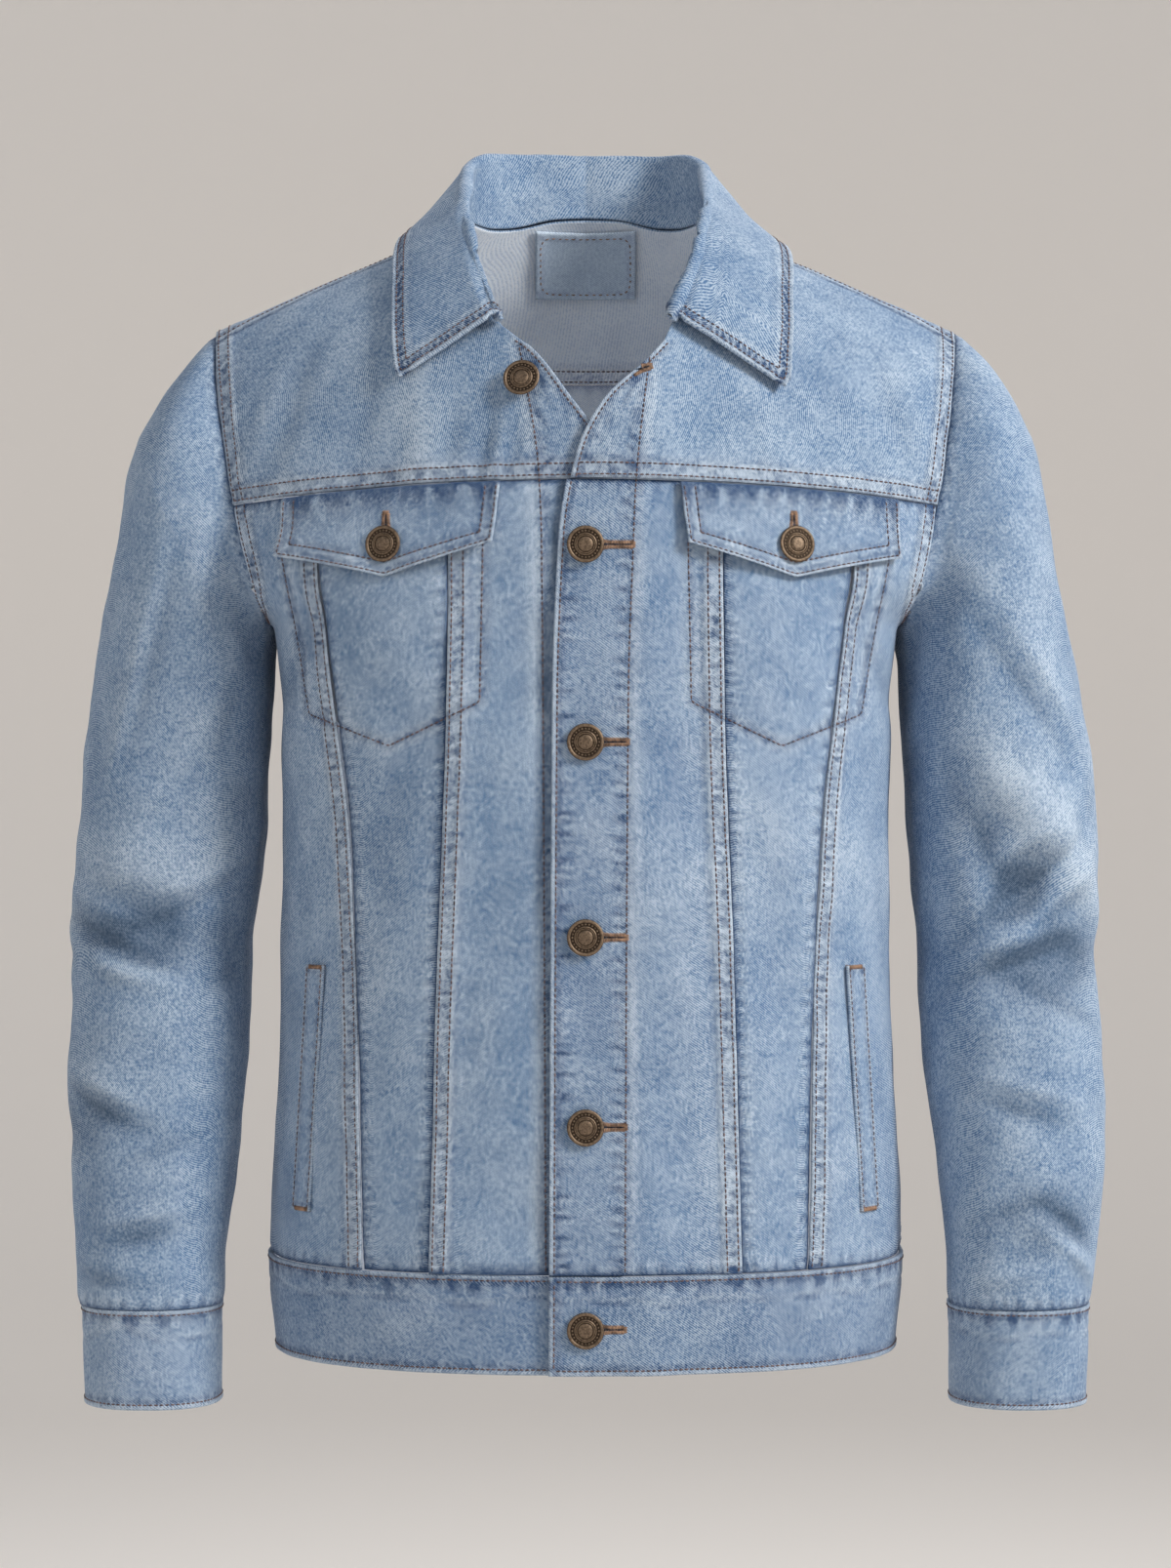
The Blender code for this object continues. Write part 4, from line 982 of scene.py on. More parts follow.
class Relief:
    """What a sheet's seams, folds and puckers do to its surface and its colour."""

    def __init__(self, grid):
        self.grid = grid
        self.down = lengths(grid, 0)
        self.across = lengths(grid, 1)
        for name in ("lift", "ledge", *MASKS):
            setattr(self, name, np.zeros(grid.shape[:2]))

    def border(self, name):
        """Each point's distance from a border and its place along it."""
        return {
            "top": (self.down, self.across),
            "end": (self.down[-1:] - self.down, self.across),
            "first": (self.across, self.down),
            "last": (self.across[:, -1:] - self.across, self.down),
        }[name]

    def over(self, name, seed, share=1.0, height=LEDGE, width=ALLOWANCE, depth=0.00055):
        """The raised side of a lapped seam: a ledge of several layers, drawn in by its stitches."""
        away, along = self.border(name)
        ledge = share * (1 - ease((away - width) / 0.0022))
        self.ledge = np.maximum(self.ledge, height * ledge)
        wave = 0.5 + 0.5 * waver(along + 0.12 * away, 0.0054, seed)
        slow = 0.65 + 0.35 * waver(along, 0.045, seed + 1)
        between = hump(away, 0.0052, 0.003) * share * slow
        self.lift -= depth * between * (0.35 + wave)
        beyond = hump(away, width + 0.003, 0.0042) * share * slow
        self.lift += 0.0003 * beyond * (wave - 0.5) * 2
        self.deep += 0.66 * between * ease(wave * 1.9 - 0.65)
        self.wear += 0.22 * hump(away, 0.0046, 0.0048)
        self.deep += 0.42 * share * hump(away, width + 0.0024, 0.0012) * (0.4 + 0.6 * wave)
        self.wear += share * (0.85 * hump(away, 0.0, 0.0013) + 0.5 * hump(away, width, 0.0012))
        self.wear += 0.7 * between * ease(1.1 - 1.6 * wave)
        self.wear += 0.22 * beyond * (1 - wave)
        self.seam = np.maximum(self.seam, ledge)

    def strip(self, name, at, seed, height=LEDGE):
        """A second piece lapped over a border as far as a distance from it, with its stitched edge."""
        away, along = self.border(name)
        wave = 0.5 + 0.5 * waver(along, 0.0066, seed)
        self.ledge = np.maximum(self.ledge, height * (1 - ease((away - at) / 0.0012)))
        self.wear += 0.95 * hump(away, at - 0.001, 0.0016)
        self.deep += 1.0 * hump(away, at + 0.0018, 0.0013)
        self.deep += 0.3 * hump(away, at - 0.006, 0.0024) * (0.4 + wave)
        self.lift -= 0.0004 * hump(away, at - 0.005, 0.0022) * (0.4 + wave)
        self.seam = np.maximum(self.seam, 0.8 * hump(away, at - 0.006, 0.004))

    def under(self, name, seed, share=1.0, depth=0.0007):
        """The side of a seam that runs in below another piece, darker along the seam, partly kept indigo and
        partly painted shadow of the edge above.
        """
        away, along = self.border(name)
        wave = 0.5 + 0.5 * waver(along, 0.0078, seed)
        self.lift -= share * depth * hump(away, 0.0, 0.0032)
        self.lift += 0.00035 * share * hump(away, 0.0055, 0.005) * (wave - 0.5) * 2
        blots = ease(1.8 * wave - 0.6)
        self.deep += share * (1.0 * hump(away, 0.0, 0.0019) + 0.55 * hump(away, 0.0034, 0.0034) * blots)
        self.wear += 0.22 * share * hump(away, 0.006, 0.0035) * (1 - wave)

    def edge(self, name, seed, share=1.0, height=0.0006, width=0.003):
        """A folded or bound edge: a pale rounded ridge with a row of stitches just inside it."""
        away, along = self.border(name)
        wave = 0.5 + 0.5 * waver(along, 0.007, seed)
        ridge = hump(away, 0.0012, width * 0.6)
        self.lift += share * height * ridge * (0.8 + 0.4 * wave)
        self.lift -= share * 0.0003 * hump(away, width, 0.0009)
        self.wear += share * 0.75 * ridge * (0.65 + 0.5 * wave)
        self.deep += share * 0.38 * hump(away, width + 0.0016, 0.0016) * (0.4 + wave)
        self.seam = np.maximum(self.seam, share * 0.6 * hump(away, width + 0.002, 0.004))

    def row(self, name, at, seed, share=1.0, reach=0.0026):
        """What one row of stitches draws in, at a distance from a border."""
        away, along = self.border(name)
        wave = 0.5 + 0.5 * waver(along, 0.0072, seed)
        near = share * hump(away, at, reach)
        self.lift -= 0.00032 * near * (0.5 + wave)
        self.deep += 0.34 * share * hump(away, at + 0.0014, 0.0014) * (0.35 + wave)
        self.wear += 0.3 * share * hump(away, at - 0.0024, 0.0016) * (0.6 + 0.6 * wave)
        self.seam = np.maximum(self.seam, 0.6 * near)

    def folds(self, rise, pale, dark):
        """Folds, with crests paler, partly worn and partly painted highlight, painted highlight on slopes
        that face up, and painted shade in their hollows and on slopes that face down.
        """
        self.lift += rise
        self.wear += pale * np.clip(rise / 0.0035, 0, 1)
        hollow = np.clip(-rise / 0.0042, 0, 1) ** 1.25
        # How steeply the fold falls away below each point: painted shade on slopes that face down, painted
        # highlight on those that face up.
        tilt = -np.gradient(rise, axis=0) / np.maximum(np.gradient(self.down, axis=0), 1e-5)
        self.deep += 0.35 * dark * hollow
        self.shade += dark * (0.75 * hollow + 0.85 * np.clip(tilt / 0.55, 0, 1))
        self.wear += 0.45 * pale * np.clip(-tilt / 0.55, 0, 1)

    def soften(self, seed, large=0.0008, small=0.00028):
        """The slight unevenness of washed cloth."""
        wide = ripple(self.grid, 0.05, seed)
        close = ripple(self.grid, 0.016, seed + 1)
        self.lift += large * wide + small * close
        self.wear += 0.1 * np.clip(wide, 0, 1) + 0.1 * np.clip(close, 0, 1)
        self.deep += 0.08 * np.clip(-wide, 0, 1) + 0.08 * np.clip(-close, 0, 1)


def deselect_all():
    for thing in list(bpy.context.selected_objects):
        thing.select_set(False)
    bpy.context.view_layer.objects.active = None


def apply_modifier(thing, modifier):
    make_active(thing)
    bpy.ops.object.modifier_apply(modifier=modifier.name)
    deselect_all()


def select_faces(mesh, chosen):
    """Leaves only the chosen faces selected, in edit mode."""
    bpy.ops.mesh.select_all(action="DESELECT")
    bpy.ops.object.mode_set(mode="OBJECT")
    for face in mesh.polygons:
        face.select = chosen(face)
    bpy.ops.object.mode_set(mode="EDIT")


def add_values(mesh, label, numbers):
    """A named number for each point of a mesh, for its material to read."""
    layer = mesh.attributes.new(label, "FLOAT", "POINT")
    layer.data.foreach_set("value", numbers.reshape(-1).astype(np.float32))


def make_active(thing):
    """Leaves one object selected and active."""
    deselect_all()
    thing.select_set(True)
    bpy.context.view_layer.objects.active = thing


def grid_mesh(name, grid, centre, values):
    """A grid primitive moved onto a sheet's points, with its own map in metres and its values."""
    rows, columns = grid.shape[:2]
    deselect_all()
    bpy.ops.mesh.primitive_grid_add(x_subdivisions=columns - 1, y_subdivisions=rows - 1, calc_uvs=True)
    thing = bpy.context.object
    thing.name = name
    mesh = thing.data
    mesh.name = name
    mesh.vertices.foreach_set("co", grid.reshape(-1).astype(np.float32))
    corners = np.empty(len(mesh.loops), dtype=np.int32)
    mesh.loops.foreach_get("vertex_index", corners)
    chart = np.stack([lengths(grid, 1).reshape(-1), -lengths(grid, 0).reshape(-1)], axis=1)
    mesh.uv_layers.active.data.foreach_set("uv", chart[corners].reshape(-1).astype(np.float32))
    for label, numbers in values.items():
        add_values(mesh, label, np.clip(numbers, 0, 1))
    mesh.update()
    face = mesh.polygons[len(mesh.polygons) - columns // 2]
    if face.normal.dot(face.center - Vector(centre)) < 0:
        mesh.flip_normals()
    mesh.shade_smooth()
    return thing


def sheet(name, relief, thickness=CLOTH, faces=None, centre=BODY_MIDDLE, ring=False):
    """A finished cloth wall, whose visible side is the relief's grid, with its thickness behind it."""
    grid = relief.grid
    rows = np.diff(relief.down, axis=0)
    rows = (rows[:, 1:] + rows[:, :-1]) / 2
    columns = np.diff(relief.across, axis=1)
    columns = (columns[1:] + columns[:-1]) / 2
    normals = outward(grid, centre)
    grid = grid + normals * (relief.lift + relief.ledge)[..., None]
    if ring:
        grid[:, -1] = grid[:, 0]
    else:
        grid = trimmed(grid)
    normals = outward(grid, centre)
    values = {name: getattr(relief, name) for name in MASKS}
    thing = grid_mesh(f"denim_{name}", grid, centre, values)
    if ring:
        make_active(thing)
        bpy.ops.object.mode_set(mode="EDIT")
        bpy.ops.mesh.select_all(action="SELECT")
        bpy.ops.mesh.remove_doubles(threshold=1e-6)
        bpy.ops.object.mode_set(mode="OBJECT")
    for face in faces or (outside, inside):
        thing.data.materials.append(face())
    wall = thing.modifiers.new("Cloth", "SOLIDIFY")
    wall.thickness = thickness
    wall.offset = -1
    wall.material_offset = 1
    apply_modifier(thing, wall)
    FINISHED[name] = (grid, normals)
    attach(thing, "root")
    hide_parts(name)
    return thing


def feed(tree, node, inputs):
    """Gives a node's inputs their values, or links them where a value is another node's output."""
    for key, value in inputs.items():
        if isinstance(value, bpy.types.NodeSocket):
            tree.links.new(value, node.inputs[key])
        else:
            node.inputs[key].default_value = value


def add_node(tree, kind, inputs=None, **settings):
    """A shader node with its settings and inputs."""
    made = tree.nodes.new(kind)
    for key, value in settings.items():
        setattr(made, key, value)
    feed(tree, made, inputs or {})
    return made


def maths(tree, operation, first, second=0.0, clamp=False):
    made = add_node(tree, "ShaderNodeMath", {0: first, 1: second}, operation=operation, use_clamp=clamp)
    return made.outputs[0]


def noise(tree, vector, scale, detail=2.0, roughness=0.55):
    inputs = {"Vector": vector, "Scale": scale, "Detail": detail, "Roughness": roughness}
    return add_node(tree, "ShaderNodeTexNoise", inputs).outputs["Fac"]


def ranged(tree, value, low, high, to_low=0.0, to_high=1.0):
    inputs = {"Value": value, "From Min": low, "From Max": high, "To Min": to_low, "To Max": to_high}
    return add_node(tree, "ShaderNodeMapRange", inputs).outputs["Result"]


def blended(tree, share, first, second, mode="MIX"):
    made = add_node(tree, "ShaderNodeMix", data_type="RGBA", blend_type=mode)
    feed(tree, made, {0: share, 6: first, 7: second})
    return made.outputs[2]


def new_group(name, inputs, outputs):
    """An empty shader node group. Its sockets are given as their names and the kind they share."""
    group = bpy.data.node_groups.new(name, "ShaderNodeTree")
    for way, sockets in (("INPUT", inputs), ("OUTPUT", outputs)):
        for labels, kind in sockets.items():
            for label in labels.split():
                group.interface.new_socket(name=label, in_out=way, socket_type="NodeSocket" + kind)
    return group, group.nodes.new("NodeGroupInput"), group.nodes.new("NodeGroupOutput")


def twill_weave():
    """The threads of twill: fine slanting ribs, long slubs and a soft uneven grain."""
    group, given, result = new_group(
        "Twill weave", {"Chart Place": "Vector"}, {"Tone Height": "Float"}
    )
    chart = given.outputs["Chart"]
    place = given.outputs["Place"]
    slanted = add_node(group, "ShaderNodeMapping", {"Vector": chart, "Rotation": (0, 0, -0.96)})
    ribs = add_node(
        group,
        "ShaderNodeTexWave",
        {"Vector": slanted.outputs[0], "Scale": 285.0, "Distortion": 1.6, "Detail": 1.0, "Detail Scale": 2.0},
    ).outputs["Fac"]
    stretched = add_node(group, "ShaderNodeMapping", {"Vector": chart, "Scale": (1.0, 0.28, 1.0)})
    slubs = noise(group, stretched.outputs[0], 760.0, 2.0)
    grain = noise(group, place, 640.0, 2.0, 0.7)
    blotch = noise(group, place, 190.0, 2.0, 0.6)
    cloud = noise(group, place, 62.0, 3.0, 0.6)
    wide = noise(group, place, 16.0, 3.0, 0.6)
    total = maths(group, "MULTIPLY", ribs, 0.14)
    for value, weight in ((slubs, 0.2), (grain, 0.38), (blotch, 0.07), (cloud, 0.09), (wide, 0.12)):
        total = maths(group, "ADD", total, maths(group, "MULTIPLY", value, weight))
    tone = ranged(group, total, 0.415, 0.585)
    height = maths(group, "ADD", maths(group, "MULTIPLY", ribs, 0.22), maths(group, "MULTIPLY", grain, 0.8))
    height = maths(group, "ADD", height, maths(group, "MULTIPLY", slubs, 0.6))
    feed(group, result, {"Tone": tone, "Height": height})
    return group


def dye_wear_and_painted_shade(weave):
    """Indigo that has faded on the cloth's raised places and stayed in its seams and hollows, together
    with painted highlights on folds and painted shade in their hollows and under the lapped front.
    """
    group, given, result = new_group(
        "Dye, wear and painted shade",
        {"Chart Place": "Vector", "Wear Deep Shade Seam": "Float", "Indigo Faded Dark": "Color"},
        {"Colour": "Color", "Roughness Height": "Float"},
    )
    place = given.outputs["Place"]
    threads = add_node(group, "ShaderNodeGroup", node_tree=weave)
    feed(group, threads, {"Chart": given.outputs["Chart"], "Place": place})
    tone = threads.outputs["Tone"]
    patches = ranged(group, noise(group, place, 190.0, 3.0, 0.65), 0.43, 0.58)
    seam = given.outputs["Seam"]
    pale = maths(group, "MULTIPLY", given.outputs["Wear"], ranged(group, tone, 0.0, 1.0, 0.45, 1.15))
    light_seam = maths(group, "MULTIPLY", seam, ranged(group, patches, 0.0, 1.0, 0.34, 0.0))
    pale = maths(group, "ADD", pale, light_seam)
    pale = maths(group, "ADD", pale, ranged(group, tone, 0.0, 1.0, 0.02, 0.74), clamp=True)
    dark = maths(group, "MULTIPLY", given.outputs["Deep"], ranged(group, tone, 0.0, 1.0, 1.05, 0.62))
    dark_seam = maths(group, "MULTIPLY", seam, ranged(group, patches, 0.0, 1.0, 0.0, 0.3))
    dark = maths(group, "ADD", dark, dark_seam)
    dark = maths(group, "ADD", dark, ranged(group, tone, 0.0, 0.45, 0.26, 0.0), clamp=True)
    colour = blended(group, pale, given.outputs["Indigo"], given.outputs["Faded"])
    colour = blended(group, dark, colour, given.outputs["Dark"])
    # Painted shade of folds and under the lapped front, laid over the colour.
    strength = ranged(group, tone, 0.0, 1.0, 0.95, 0.6)
    shade = maths(group, "MULTIPLY", given.outputs["Shade"], strength, clamp=True)
    colour = blended(group, shade, colour, FOLD_SHADE)
    roughness = ranged(group, tone, 0.0, 1.0, 0.95, 0.78)
    height = threads.outputs["Height"]
    feed(group, result, {"Colour": colour, "Roughness": roughness, "Height": height})
    return group


def new_material(name):
    material = bpy.data.materials.new(name)
    material.use_nodes = True
    tree = material.node_tree
    return material, tree, tree.nodes["Principled BSDF"]


def group_of(name, build, *parts):
    """A shader node group, built the first time that it is wanted."""
    found = bpy.data.node_groups.get(name)
    return found if found else build(*parts)


def material_of(name, build):
    found = bpy.data.materials.get(name)
    return found if found else build(name)


def bump(tree, height, strength, distance):
    inputs = {"Height": height, "Strength": strength, "Distance": distance}
    return add_node(tree, "ShaderNodeBump", inputs).outputs["Normal"]


def dyed_cloth(name, indigo, faded, dark, strength):
    """A denim material from its three colours."""
    weave = group_of("Twill weave", twill_weave)
    dye = group_of("Dye, wear and painted shade", dye_wear_and_painted_shade, weave)
    material, tree, shader = new_material(name)
    chart = add_node(tree, "ShaderNodeUVMap", uv_map="UVMap")
    place = add_node(tree, "ShaderNodeTexCoord")
    inputs = {
        "Chart": chart.outputs["UV"],
        "Place": place.outputs["Object"],
        "Indigo": indigo,
        "Faded": faded,
        "Dark": dark,
    }
    for label in MASKS:
        value = add_node(tree, "ShaderNodeAttribute", attribute_name=label)
        inputs[label.capitalize()] = value.outputs["Fac"]
    look = add_node(tree, "ShaderNodeGroup", node_tree=dye)
    feed(tree, look, inputs)
    surface = {
        "Base Color": look.outputs["Colour"],
        "Roughness": look.outputs["Roughness"],
        "Normal": bump(tree, look.outputs["Height"], strength, CLOTH_BUMP),
        "Specular IOR Level": 0.18,
        "Sheen Weight": 0.12,
        "Sheen Roughness": 0.5,
    }
    feed(tree, shader, surface)
    return material


def look_colours(*labels):
    """The look's named colours, each with its alpha."""
    return [(*getattr(bpy.context.scene.jacket_look, label), 1) for label in labels]


def cloth_of(name, labels, strength):
    """A denim material in three of the look's colours, made the first time that it is wanted."""
    return material_of(name, lambda made: dyed_cloth(made, *look_colours(*labels), strength))


def outside():
    return cloth_of("Denim outside", ("indigo", "faded", "dark"), 0.75)


def inside():
    return cloth_of("Denim inside", ("inside", "inside_faded", "inside_dark"), 0.5)


def patch_face():
    return cloth_of("Neck patch", ("patch", "patch_faded", "inside_dark"), 0.4)


def seam_thread():
    return material_of("Cotton thread", lambda made: thread_material(made, *look_colours("thread")))


def hole_thread():
    return material_of("Buttonhole thread", lambda made: thread_material(made, *look_colours("tack")))


def thread_material(name, colour):
    """Spun thread, a little uneven in its colour and twisted along its length."""
    material, tree, shader = new_material(name)
    place = add_node(tree, "ShaderNodeTexCoord").outputs["Object"]
    uneven = noise(tree, place, 320.0, 2.0)
    fibre = noise(tree, place, 2600.0, 1.0)
    dark = (colour[0] * 0.5, colour[1] * 0.5, colour[2] * 0.52, 1)
    pale = (*(min(1, part * 1.45) for part in colour[:3]), 1)
    surface = {
        "Base Color": blended(tree, ranged(tree, uneven, 0.35, 0.65), dark, pale),
        "Roughness": ranged(tree, fibre, 0.2, 0.8, 0.62, 0.85),
        "Normal": bump(tree, fibre, 0.6, 0.0002),
        "Specular IOR Level": 0.25,
    }
    feed(tree, shader, surface)
    return material


def aged_bronze(name):
    """Antiqued metal, dark in its hollows and rubbed bright on its rings, beads and dome."""
    material, tree, shader = new_material(name)
    place = add_node(tree, "ShaderNodeTexCoord").outputs["Object"]
    rubbed = add_node(tree, "ShaderNodeAttribute", attribute_name="rubbed").outputs["Fac"]
    tarnish = noise(tree, place, 900.0, 3.0, 0.6)
    share = maths(tree, "MULTIPLY", rubbed, ranged(tree, tarnish, 0.35, 0.65, 0.35, 1.1), clamp=True)
    surface = {
        "Base Color": blended(tree, share, *look_colours("metal_dark", "metal")),
        "Roughness": ranged(tree, tarnish, 0.3, 0.7, 0.46, 0.62),
        "Normal": bump(tree, tarnish, 0.35, 0.00015),
        "Metallic": 0.9,
    }
    feed(tree, shader, surface)
    return material


def seam_line(piece, border, away):
    """Points and normals of a finished sheet at a distance from one of its borders."""
    grid, normals = FINISHED[piece]
    if border in ("top", "end"):
        grid = grid.transpose(1, 0, 2)
        normals = normals.transpose(1, 0, 2)
    if border in ("end", "last"):
        grid = grid[:, ::-1]
        normals = normals[:, ::-1]
    reach = lengths(grid, 1)
    after = np.clip((reach < away).sum(axis=1), 1, grid.shape[1] - 1)
    rows = np.arange(len(grid))
    start = reach[rows, after - 1]
    share = ((away - start) / (reach[rows, after] - start))[:, None]
    points = mixed(grid[rows, after - 1], grid[rows, after], share)
    ways = mixed(normals[rows, after - 1], normals[rows, after], share)
    return points, ways / np.linalg.norm(ways, axis=1, keepdims=True)


def stitches(line, skip=(0.0, 0.0), pitch=THREAD_PITCH, length=THREAD_LENGTH):
    """Centres, directions and normals of stitches spaced evenly along a line."""
    points, normals = line
    reach = reach_of(points)
    first, last = skip[0], reach[-1] - skip[1]
    count = max(1, round((last - first) / pitch))
    middles = first + (np.arange(count) + 0.5) * (last - first) / count
    ahead = read_off(middles + length / 2, reach, points)
    behind = read_off(middles - length / 2, reach, points)
    return (ahead + behind) / 2, ahead - behind, read_off(middles, reach, normals)


def stitch_template():
    """The outline of one stitch, thickest in its middle: a short square bar drawn out to narrow ends."""
    deselect_all()
    bpy.ops.mesh.primitive_cylinder_add(vertices=4, radius=0.5, depth=0.5, location=(0, 0, -0.25))
    bar = bpy.context.object
    bpy.ops.object.mode_set(mode="EDIT")
    for height, reach in ((0.0, 0.5), (-0.5, 0.0)):
        level = height - bar.location.z
        select_faces(bar.data, lambda face: abs(face.normal.z) > 0.9 and abs(face.center.z - level) < 1e-4)
        if reach:
            move = {"value": (0, 0, reach)}
            bpy.ops.mesh.extrude_region_move(TRANSFORM_OT_translate=move)
        bpy.ops.transform.resize(value=(0.55, 0.55, 1))
    bpy.ops.object.mode_set(mode="OBJECT")
    points = np.array([vertex.co[:] for vertex in bar.data.vertices]) + np.array(bar.location)
    faces = [tuple(face.vertices) for face in bar.data.polygons]
    bpy.data.objects.remove(bar, do_unlink=True)
    return points, faces


def thread_bars(name, runs, material, width=THREAD_WIDTH, rise=THREAD_RISE):
    """Lays a copy of one stitch at each place of the runs, in one mesh."""
    if "stitch" not in FINISHED:
        FINISHED["stitch"] = stitch_template()
    shape, faces = FINISHED["stitch"]
    middles = np.concatenate([run[0] for run in runs])
    along = np.concatenate([run[1] for run in runs])
    up = np.concatenate([run[2] for run in runs])
    side = np.cross(up, along)
    side /= np.linalg.norm(side, axis=1, keepdims=True) + 1e-12
    up = np.cross(along, side)
    up /= np.linalg.norm(up, axis=1, keepdims=True) + 1e-12
    arch = rise * 0.9 - 2.0 * rise * np.abs(shape[:, 2])
    points = middles[:, None] + side[:, None] * shape[None, :, 0:1] * width
    points = points + up[:, None] * (shape[None, :, 1:2] * width * 0.8 + arch[None, :, None])
    points = points + along[:, None] * shape[None, :, 2:3]
    count = len(middles)
    mesh = bpy.data.meshes.new(name)
    whole = []
    for copy in range(count):
        start = copy * len(shape)
        whole.extend([tuple(start + corner for corner in face) for face in faces])
    mesh.from_pydata(points.reshape(-1, 3).tolist(), [], whole)
    mesh.update()
    first = mesh.polygons[0]
    if first.normal.dot(first.center - Vector(points[0].mean(axis=0))) < 0:
        mesh.flip_normals()
    mesh.shade_smooth()
    thing = bpy.data.objects.new(name, mesh)
    bpy.context.scene.collection.objects.link(thing)
    mesh.materials.append(material)
    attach(thing, "root")
    return thing


def search_tree(names):
    """Finished sheets as one search tree, to lay things on them as seen from the front."""
    points = []
    faces = []
    for name in names:
        grid, _ = FINISHED[name]
        rows, columns = grid.shape[:2]
        start = len(points)
        points.extend(grid.reshape(-1, 3).tolist())
        corner = (start + np.arange(rows - 1)[:, None] * columns + np.arange(columns - 1)).reshape(-1)
        quads = np.stack([corner, corner + 1, corner + columns + 1, corner + columns], axis=1)
        faces.extend(quads.tolist())
    return BVHTree.FromPolygons(points, faces)


def on_cloth(tree, places):
    """Points and normals where places, seen from the front, meet the finished cloth."""
    points = []
    normals = []
    for across, height in places:
        point, normal, _, _ = tree.ray_cast(Vector((across, RAY_START, height)), Vector((0, 1, 0)))
        if point is None:
            continue
        points.append(point[:])
        normals.append(normal[:] if normal.y < 0 else (-normal)[:])
    return np.array(points), np.array(normals)


def along_places(corners, step=0.002):
    """Places at small steps along straight lines between corners."""
    corners = np.array(corners)
    reach = reach_of(corners)
    return read_off(np.linspace(0, reach[-1], max(2, round(reach[-1] / step))), reach, corners)


def pulled_by(relief, outline, facing_sign, seed, share=1.0):
    """What a row of stitches away from the borders draws in, along an outline seen from the front."""
    step = 0.0015
    places = along_places(outline, step) * np.array([facing_sign, 1.0])
    flat = relief.grid[..., [0, 2]].reshape(-1, 2)
    near = np.full(len(flat), 1.0)
    along = np.zeros(len(flat))
    for start in range(0, len(flat), CHUNK):
        part = slice(start, start + CHUNK)
        gaps = np.linalg.norm(flat[part, None] - places[None], axis=-1)
        near[part] = gaps.min(axis=1)
        along[part] = gaps.argmin(axis=1) * step
    near = near.reshape(relief.grid.shape[:2])
    along = along.reshape(relief.grid.shape[:2])
    wave = 0.5 + 0.5 * waver(along, 0.007, seed)
    close = hump(near, 0.0, 0.0026) * share
    relief.lift -= 0.00038 * close * (0.5 + wave)
    relief.deep += 0.42 * close * (0.25 + 0.8 * wave)
    relief.wear += 0.26 * share * hump(near, 0.0034, 0.0018) * (1.2 - wave)
    relief.seam = np.maximum(relief.seam, 0.7 * close)


def placket_wear(relief, side, sign):
    """The uneven fading of the doubled strip inside a front edge, in short dark bars off the edge."""
    stitched = sign * read(PLACKET[side], "across", relief.grid[..., 2])
    inside_row = ease((stitched - relief.grid[..., 0]) * sign / 0.002)
    away, along = relief.border("first")
    wave = 0.5 + 0.5 * waver(along + 0.05 * away, 0.0078, 31)
    other = 0.5 + 0.5 * waver(along - 0.08 * away, 0.0088, 32)
    slow = ease(0.75 + 0.8 * waver(along, 0.09, 33))
    relief.seam = np.maximum(relief.seam, 0.22 * inside_row)
    relief.deep += 0.85 * inside_row * slow * hump(away, 0.008, 0.0044) * ease(2.2 * wave - 1.0)
    relief.wear += 0.4 * inside_row * hump(away, 0.0085, 0.005) * ease(0.8 - 1.9 * wave)
    near_row = np.abs(relief.grid[..., 0] - stitched)
    relief.deep += 0.75 * inside_row * hump(near_row, 0.004, 0.0034) * ease(2.2 * other - 1.0)
    relief.wear += 0.35 * inside_row * hump(near_row, 0.004, 0.004) * ease(0.8 - 1.9 * other)
    relief.deep += 0.12 * inside_row
    relief.wear += 0.3 * ease((relief.grid[..., 0] - stitched) * sign / 0.001) * hump(
        relief.grid[..., 0] * sign, stitched * sign + 0.0035, 0.0026
    )


def placket_outline(side):
    heights = np.linspace(FRONT_TOP - 0.004, BODY_END, 60)
    return np.stack([read(PLACKET[side], "across", heights), heights], axis=1)


def body_panel(grid, facing, seed):
    """The relief of a body panel, with its folds and its cloth's unevenness."""
    panel = Relief(grid)
    rise = fold_rise(BODY_FOLDS[facing], grid[..., 0], grid[..., 2])
    panel.folds(rise, pale=0.35, dark=0.6)
    panel.soften(seed)
    return panel


def side_borders(panel, seed):
    """Lapped up to the armpit, and run in below the other side of the side seam under it."""
    above = ease((panel.grid[:, -1:, 2] - ARMPIT) / 0.006)
    panel.over("last", seed, share=above)
    panel.under("last", seed + 2, share=1 - above)


